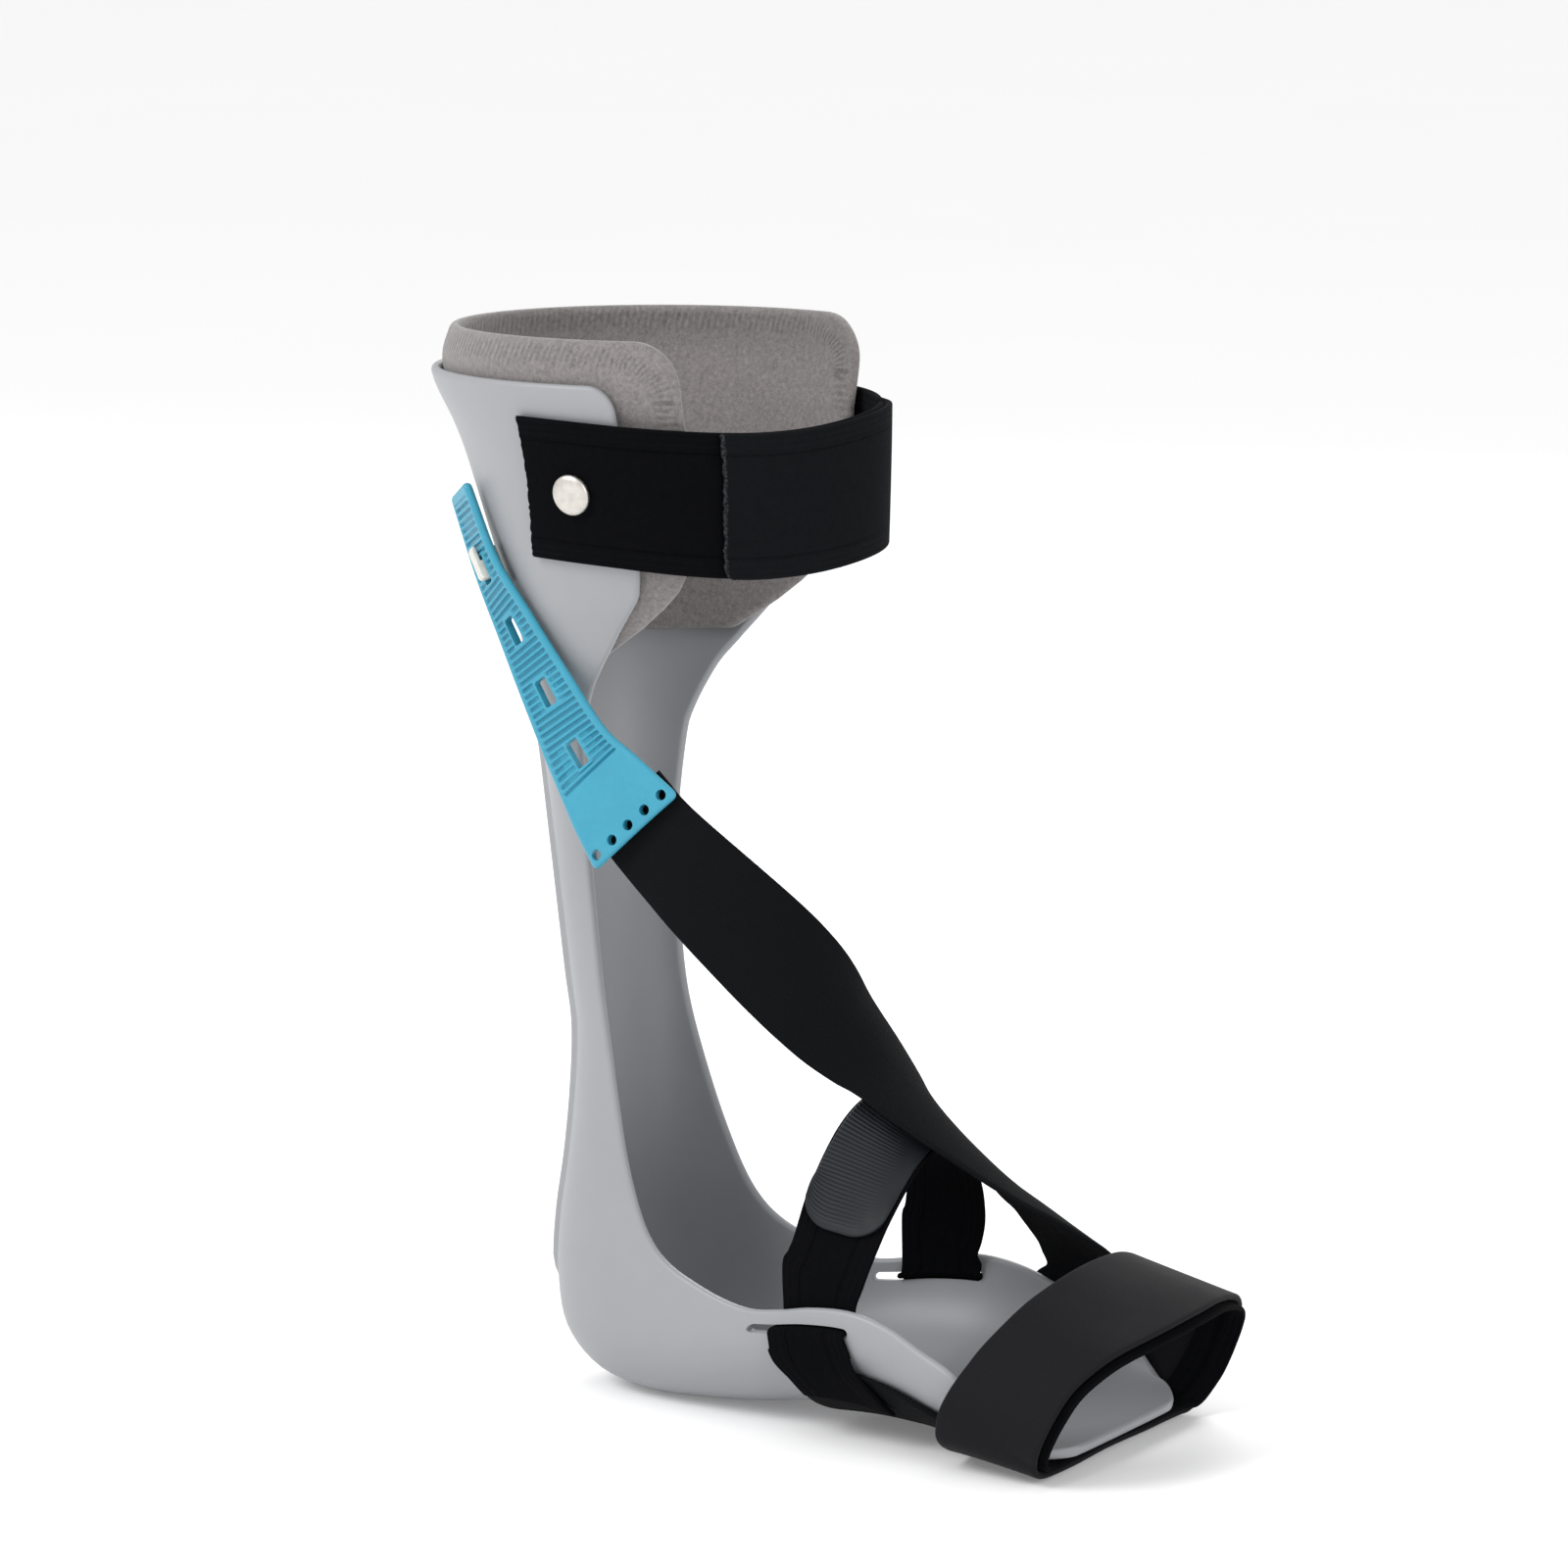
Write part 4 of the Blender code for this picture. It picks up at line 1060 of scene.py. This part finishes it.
# Painted shade: the hollows between the ribs, inside the borders and away from the slots, are
# coloured darker.
hollow = (along * (2 * math.pi / RIB_PITCH) + math.pi / 2).sine() * -0.9 + 0.5
hollow = hollow.above(0.5, 0.5) * across.above(BORDER + 0.0002, 0.0002)
hollow = hollow * along.above(ribs_from, 0.0004) * (1 - along.above(ribs_to, 0.0004))
near_slot = 0
for slot_run in slot_runs:
    near_slot = (1 - (along - float(slot_run)).size().above(0.0051, 0.0002)) + near_slot
hollow = hollow * (1 - near_slot * across.above(0.0052, 0.0003))
ladder_finish = blue.wear(
    colour=(blue.noise(60, 3) * 0.35 + blue.noise(500, 2) * 0.25 + 0.4 - hollow * 0.55).tint(
        (0.018, 0.180, 0.280), (0.044, 0.305, 0.425)),
    rough=0.3 + blue.noise(300, 3) * 0.16,
    bump=blue.noise(900, 2),
    metres=0.00006,
    strength=0.35,
)
ladder = strap("ladder_strip", middle, ladder_sides, LADDER_THICK, ladder_finish,
               ["ladder_strap"], relief=relief, facing=facing)
rib_uv = ladder.data.uv_layers.new(name="ribs")
for loop, kept_place in zip(rib_uv.data, ladder.data.uv_layers["weave"].data):
    at, side = kept_place.uv
    loop.uv = (at, side * np.interp(at, run, widths) / 0.018)
print("ribs from", round(float(ribs_from), 3), "to", round(float(ribs_to), 3))


# %% Cut the slots and the stitch holes
HOLE_RADIUS, CUT_DEPTH = 0.0016, 0.008


def plug(outline, depth, point, axes):
    """Corners and faces of an outline pushed through a strap."""
    count = len(outline)
    corners = [point + np.array((u, v, rise)) @ np.array(axes)
               for rise in (-depth / 2, depth / 2) for u, v in outline]
    faces = [tuple(range(count)), tuple(range(2 * count - 1, count - 1, -1))]
    faces += [(i, (i + 1) % count, count + (i + 1) % count, count + i) for i in range(count)]
    return corners, faces


def on_ladder(place, share):
    spots = strip(LADDER, (place - 0.02, place + 0.02), (share - 0.05, share, share + 0.05))
    out = normals(spots)[0, 1] * facing
    return frame_at(spots.mean(axis=(0, 1)), out, spots[1, 1] - spots[0, 1])


def soft_corners(long, wide, radius):
    outline = []
    for quarter, (u, v) in enumerate(((1, 1), (-1, 1), (-1, -1), (1, -1))):
        for step in range(5):
            angle = math.pi / 2 * (quarter + step / 4)
            outline.append((u * (long / 2 - radius) + radius * math.cos(angle),
                            v * (wide / 2 - radius) + radius * math.sin(angle)))
    return outline


hole = [(HOLE_RADIUS * math.cos(a), HOLE_RADIUS * math.sin(a))
        for a in np.linspace(0, 2 * math.pi, 24, endpoint=False)]
slot = soft_corners(*LADDER_SLOT, SLOT_CORNER)
cuts = [(slot, place, 0) for place in SLOT_PLACES]
cuts += [(hole, 5.785, share) for share in np.linspace(-0.8, 0.8, 5)]
corners, faces = [], []
for outline, place, share in cuts:
    part_corners, part_faces = plug(outline, CUT_DEPTH, *on_ladder(place, share))
    faces += [tuple(i + len(corners) for i in loop) for loop in part_faces]
    corners += part_corners
carve(ladder, corners, faces)
settle(ladder)

# %% [markdown]
# ## The stud
#
# A pale translucent hook is pushed out of the cuff and through the ladder's
# first slot. Its head points up the strap, so the pull of the foot keeps
# it closed.

# %% Make the stud
stud_plastic = Finish("stud_plastic", Roughness=0.28, Subsurface_Weight=0.3,
                      Subsurface_Radius=(0.002, 0.002, 0.002), Subsurface_Scale=1.0)
stud_finish = stud_plastic.wear(
    colour=stud_plastic.noise(400, 2).tint((0.50, 0.485, 0.44), (0.66, 0.645, 0.60)),
    rough=0.24 + stud_plastic.noise(250, 3) * 0.14,
)
point, stud_axes = on_ladder(1, 0)
stud_axes = np.array(stud_axes)
if stud_axes[0][2] > 0:
    stud_axes[0], stud_axes[1] = -stud_axes[0], -stud_axes[1]
base = float(((np.array([v.co for v in frame["nodes"]["ladder_stud"].data.vertices]) - point)
              @ stud_axes[2]).min())
top = LADDER_THICK / 2 + GAP
side_view = [(-0.006, base), (0.006, base), (0.006, base + 0.0011), (0.0032, base + 0.0016),
             (0.0028, base + 0.0022), (0.0028, top), (0.0068, top), (0.0075, top + 0.0004),
             (0.0072, top + 0.0011), (0.0062, top + 0.0015), (-0.0018, top + 0.0015),
             (-0.0027, top + 0.0010), (-0.0028, base + 0.0022), (-0.0032, base + 0.0016),
             (-0.006, base + 0.0011)]
corners, faces = plug(side_view, 0.0034, point, (-stud_axes[0], stud_axes[2], stud_axes[1]))
stud = mesh_of("hook_stud", corners, faces, stud_finish, ["ladder_stud"], 1e-7, False)
soften = stud.modifiers.new("soft edges", "BEVEL")
soften.width, soften.segments, soften.limit_method = 0.0004, 3, "ANGLE"
stud.data.shade_smooth()
stud.data.set_sharp_from_angle(angle=math.radians(60))
settle(stud)

# %% [markdown]
# ## The lift strap
#
# A wide band of woven elastic runs from the ladder's plate across the shin,
# over the instep to the inner side, and under the sole. The weave shows as
# fine cords that run with the strap, with a rolled edge on each side.

# %% Finish of the elastic
elastic = Finish("elastic_strap", Roughness=0.9, Sheen_Weight=0.008, Sheen_Roughness=0.4,
                 Specular_IOR_Level=0.06)
along, across = elastic.weave_places()
cords = across.wave(0.00085)
picks = along.wave(0.00065, cords * 3.1)
fuzz = elastic.noise(1400, 3, 0.7)
elastic_finish = elastic.wear(
    colour=(cords * 0.35 + picks * 0.25 + fuzz * 0.4).tint(
        (0.0023, 0.0026, 0.0031), (0.0063, 0.0067, 0.0078)),
    bump=cords * 0.7 + picks * 0.3 + fuzz * 0.3,
    metres=0.00022,
    strength=0.55,
)

# %% Make the lift strap
LIFT_THICK, SOLE_WIDTH = 0.0018, 0.046
LIFT_RISE = 1.4 * GAP + LIFT_THICK / 2
lift_shares, lift_sides = shares_across(0.033, LIFT_THICK, 22)


def sole_row(share, middle, width, rise, turned_round, across):
    """A row across a strap that lies under the plate, at a share of the way to its side."""
    places = [at_reach(middle + turned_round * step * width / 2) for step in across]
    return [above(place, share * edge_arc(place, SHELL_EDGE), rise) for place in places]


free = strip(LIFT, np.linspace(0, 10, 26), lift_shares)
held = np.array([
    sole_row(-0.98 + step * 1.69, ease(0.110, 0.087, step),
             ease(0.034, SOLE_WIDTH, step * 3), LIFT_RISE, -1, lift_shares)
    for step in np.linspace(0, 1, 22)
])


def rows_between(grid, places, ring=False):
    """Rows on a smooth curve through the given ones."""
    flat = grid.reshape(len(grid), -1)
    rows = np.array([between(flat, place, ring) for place in places])
    return rows.reshape(-1, *grid.shape[1:])


def smooth_rows(grid, count, thick):
    return rows_between(grid, places_along(0, len(grid) - 1, run_of(grid)[-1], thick, count))


lift_middle = smooth_rows(np.concatenate((free, held)), 300, LIFT_THICK)
settle(strap("lift_band", lift_middle, lift_sides, LIFT_THICK, elastic_finish,
             ["lift_strap"]))

# %% [markdown]
# ## The instep strap and its pull tab
#
# The instep strap comes up from under the sole, goes in through the slot in
# the outer wall, over the instep, and out through the slot in the inner wall.
# A rubber tab is welded on its outer run. Its grip is a field of fine cross
# ribs that fades out towards the toe side.

# %% Make the instep strap
INSTEP_THICK, INSTEP_WIDTH, SLOT_OFFSET = 0.0016, 0.0248, 0.0034
LOW_RISE = 2.6 * GAP + LIFT_THICK + INSTEP_THICK / 2
ON_WALL = GAP + INSTEP_THICK / 2
IN_WALL = -SHELL_THICK - GAP - INSTEP_THICK / 2
instep_shares, instep_sides = shares_across(INSTEP_WIDTH, INSTEP_THICK, 20)


def through_slot(side):
    """Rows that come up the wall from outside, turn in through the slot and go up inside."""
    turn = 0.0012
    path = (
        (10 * turn, ON_WALL),
        (5 * turn, ON_WALL),
        (turn, ON_WALL),
        (0.35 * turn, ON_WALL - 0.3 * turn),
        (0, ON_WALL - turn),
        (0, IN_WALL + turn),
        (-0.35 * turn, IN_WALL + 0.3 * turn),
        (-turn, IN_WALL),
        (-3.3 * turn, IN_WALL),
    )
    rows = []
    for down, rise in path:
        ahead = SLOT_OFFSET + 0.4 * max(down, 0)
        places = [at_reach(SLOT_REACH + ahead + step * INSTEP_WIDTH / 2)
                  for step in instep_shares]
        rows.append([above(place, -side * (edge_arc(place, SHELL_EDGE) - SLOT_DROP - down), rise)
                     for place in places])
    return rows


outer_rows = [
    sole_row(share, SLOT_REACH + ahead * INSTEP_WIDTH, INSTEP_WIDTH,
             LOW_RISE + (ON_WALL - LOW_RISE) * down, 1, instep_shares)
    for share, ahead, down in (
        (0.54, 0.66, 0.0),
        (0.60, 0.60, 0.0),
        (0.66, 0.52, 0.0),
        (0.71, 0.42, 0.0),
        (0.745, 0.33, 0.25),
        (0.78, 0.24, 0.85),
    )
]
outer_rows += through_slot(-1)[1:]
over_rows = strip(INSTEP, np.linspace(0.25, 7.75, 21), instep_shares)
instep_rows = np.concatenate((outer_rows, over_rows, through_slot(1)[::-1]))
instep_middle = smooth_rows(instep_rows, 260, INSTEP_THICK)
settle(strap("instep_band", instep_middle, instep_sides, INSTEP_THICK, pile_finish,
             ["instep_strap"]))

# %% Finish and shape of the pull tab
TAB_THICK, TAB_WIDE, GRIP_PITCH = 0.0012, 0.96, 0.00125
rubber = Finish("tab_rubber", Roughness=0.5, Specular_IOR_Level=0.25)
along, across = rubber.weave_places("grip")
# Painted highlight: the crests of the grip ribs are coloured lighter, fading with the grip
# towards the toe side.
ridge_highlight = along.wave(GRIP_PITCH, -math.pi / 2).above(0.62, 0.3)
ridge_highlight = ridge_highlight * across * (along / 0.0035).above(0.6, 0.5)
tab_finish = rubber.wear(
    colour=(rubber.noise(120, 3) * 0.3 + ridge_highlight * 0.7).tint(
        (0.0034, 0.0046, 0.0062), (0.024, 0.028, 0.033)),
    rough=0.46 + rubber.noise(300, 3) * 0.16,
    bump=rubber.noise(1500, 2),
    metres=0.00005,
    strength=0.4,
)
tab_shares, tab_sides = shares_across(INSTEP_WIDTH * TAB_WIDE, TAB_THICK, 40)
tab_places = places_along(1.4, 4.3, 0.042, TAB_THICK, 230)
tab_middle = strip(INSTEP, tab_places, tab_shares, widen=TAB_WIDE)
tab_out = normals(tab_middle)
tab_facing = float(np.sign(tab_out[-1, len(tab_shares) // 2, 2]))
tab_middle = tab_middle + tab_out * tab_facing * (INSTEP_THICK / 2 + GAP + TAB_THICK / 2)
tab_run = run_of(tab_middle)
fade = np.clip(1 - tab_run / 0.016, 0, 1)[:, None]
tab_middle = draw_in(tab_middle, 0, 12, corner_pull(tab_sides, 0.009) * fade)


def gripped(share):
    """How deep the grip is at a share of the tab's half width: it fades towards the toe side."""
    return np.clip((0.62 - share) / 0.9, 0, 1)


wave = np.clip(0.5 - 0.8 * np.cos(tab_run * 2 * math.pi / GRIP_PITCH), 0, 1)
wave = wave * np.clip((tab_run - 0.0015) / 0.002, 0, 1)
relief = 0.00032 * wave[:, None] * gripped(tab_shares)[None, :] ** 0.8
tab = settle(strap("pull_tab", tab_middle, tab_sides, TAB_THICK, tab_finish,
                   ["instep_pull_tab"], relief=relief, facing=tab_facing))
grip_uv = tab.data.uv_layers.new(name="grip")
kept_uv = tab.data.uv_layers["weave"]
for loop, place, kept_place in zip(tab.data.loops, grip_uv.data, kept_uv.data):
    at = kept_place.uv[0]
    row = min(int(np.searchsorted(tab_run, at)), len(tab_run) - 1)
    spot = np.array(tab.data.vertices[loop.vertex_index].co)
    start, end = tab_middle[row, 0], tab_middle[row, -1]
    share = float((spot - start) @ (end - start) / ((end - start) @ (end - start))) * 2 - 1
    place.uv = (at, float(gripped(share)))

# %% [markdown]
# ## The forefoot loop
#
# A smooth padded band goes round the ball of the foot and the front of the
# plate. Inside its front edge a strip of black pile shows, which lies against
# the foot.

# %% Finish of the smooth band
smooth_cloth = Finish("smooth_strap", Roughness=0.85, Sheen_Weight=0.03, Sheen_Roughness=0.35,
                      Specular_IOR_Level=0.14)
along, across = smooth_cloth.weave_places()
grain = smooth_cloth.noise(2400, 2, 0.6)
mottle = smooth_cloth.noise(90, 3)
band_finish = smooth_cloth.wear(
    colour=(grain * 0.45 + mottle * 0.55).tint(
        (0.0046, 0.0046, 0.0058), (0.0082, 0.0082, 0.0098)),
    rough=0.76 + mottle * 0.14,
    bump=grain + mottle * 0.6,
    metres=0.00016,
    strength=0.4,
)

# %% Make the band and its lining
BAND_THICK, BAND_WIDTH = 0.002, 0.0335
LINING_THICK, LINING_STEP, LINING_BACK, LINING_GAP = 0.0012, 0.0022, 0.2, 0.0008
band_shares, band_sides = shares_across(BAND_WIDTH, BAND_THICK, 24)
coarse_places = np.arange(0, len(BAND), 3 / 8)  # the rows that the solid model has
ring_steps = np.linspace(0, len(coarse_places), 220, endpoint=False)
coarse_rows = strip(BAND, coarse_places, band_shares, ring=True)
band_middle = rows_between(coarse_rows, ring_steps, ring=True)
settle(strap("forefoot_band", band_middle, band_sides, BAND_THICK, band_finish,
             ["forefoot_strap"], ring=True))
lining_width = BAND_WIDTH * (1 - LINING_BACK) / 2
unit_shares, lining_sides = shares_across(lining_width, LINING_THICK, 12)
lining_shares = LINING_BACK + (unit_shares + 1) / 2 * (1 - LINING_BACK)
lining_rows = strip(BAND, coarse_places, lining_shares, ring=True, shift=LINING_STEP)
lining_out = normals(lining_rows, ring=True)
lining_out *= -np.sign(lining_out[0, len(lining_shares) // 2, 2])
lining_rows -= lining_out * (BAND_THICK / 2 + LINING_GAP + LINING_THICK / 2)
lining_middle = rows_between(lining_rows, ring_steps, ring=True)
settle(strap("forefoot_lining_strip", lining_middle, lining_sides, LINING_THICK, pile_finish,
             ["forefoot_lining"], ring=True))

# %% [markdown]
# ## Floor and light
#
# A pale floor that runs up into the background keeps the dark straps easy to
# read. One broad light from the upper left, a weaker one from the right,
# and an even sky give the soft studio look.

# %% Floor, sky and lamps
FLOOR_REACH = 60
floor_mesh = bpy.data.meshes.new("floor")
floor_mesh.from_pydata(
    [(x * FLOOR_REACH, y * FLOOR_REACH, 0) for x, y in ((-1, -1), (1, -1), (1, 1), (-1, 1))],
    [], [(0, 1, 2, 3)])
floor = bpy.data.objects.new("floor", floor_mesh)
bpy.context.scene.collection.objects.link(floor)
pale = Finish("floor_paint", Roughness=0.95, Specular_IOR_Level=0.1, Emission_Strength=0.13)
pale.shader.inputs["Emission Color"].default_value = (1, 1, 1, 1)
floor_mesh.materials.append(pale.wear(
    colour=pale.noise(3, 2).tint((0.865, 0.865, 0.868), (0.88, 0.88, 0.883))))
floor.location.z = min(0.0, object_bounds()[0].z) - 0.0002
sky = bpy.data.worlds.new("studio")
bpy.context.scene.world = sky
sky.use_nodes = True
sky.node_tree.nodes["Background"].inputs["Color"].default_value = (1, 1, 1, 1)
sky.node_tree.nodes["Background"].inputs["Strength"].default_value = 0.92


def lamp(name, place, size, power):
    light = bpy.data.lights.new(name, "AREA")
    light.shape, light.size, light.energy = "DISK", size, power
    made = bpy.data.objects.new(name, light)
    bpy.context.scene.collection.objects.link(made)
    made.location = place
    made.rotation_mode = "QUATERNION"
    made.rotation_quaternion = (Vector(place) - Vector((0.03, 0, 0.15))).to_track_quat("Z", "Y")


lamp("key", (-0.9, -1.5, 1.6), 1.1, 26)
lamp("fill", (1.9, -0.9, 0.9), 1.4, 12)
lamp("rim", (-0.4, 1.6, 1.3), 0.9, 12)
bpy.context.scene.view_settings.view_transform = "Standard"
print("floor, sky and three lamps")
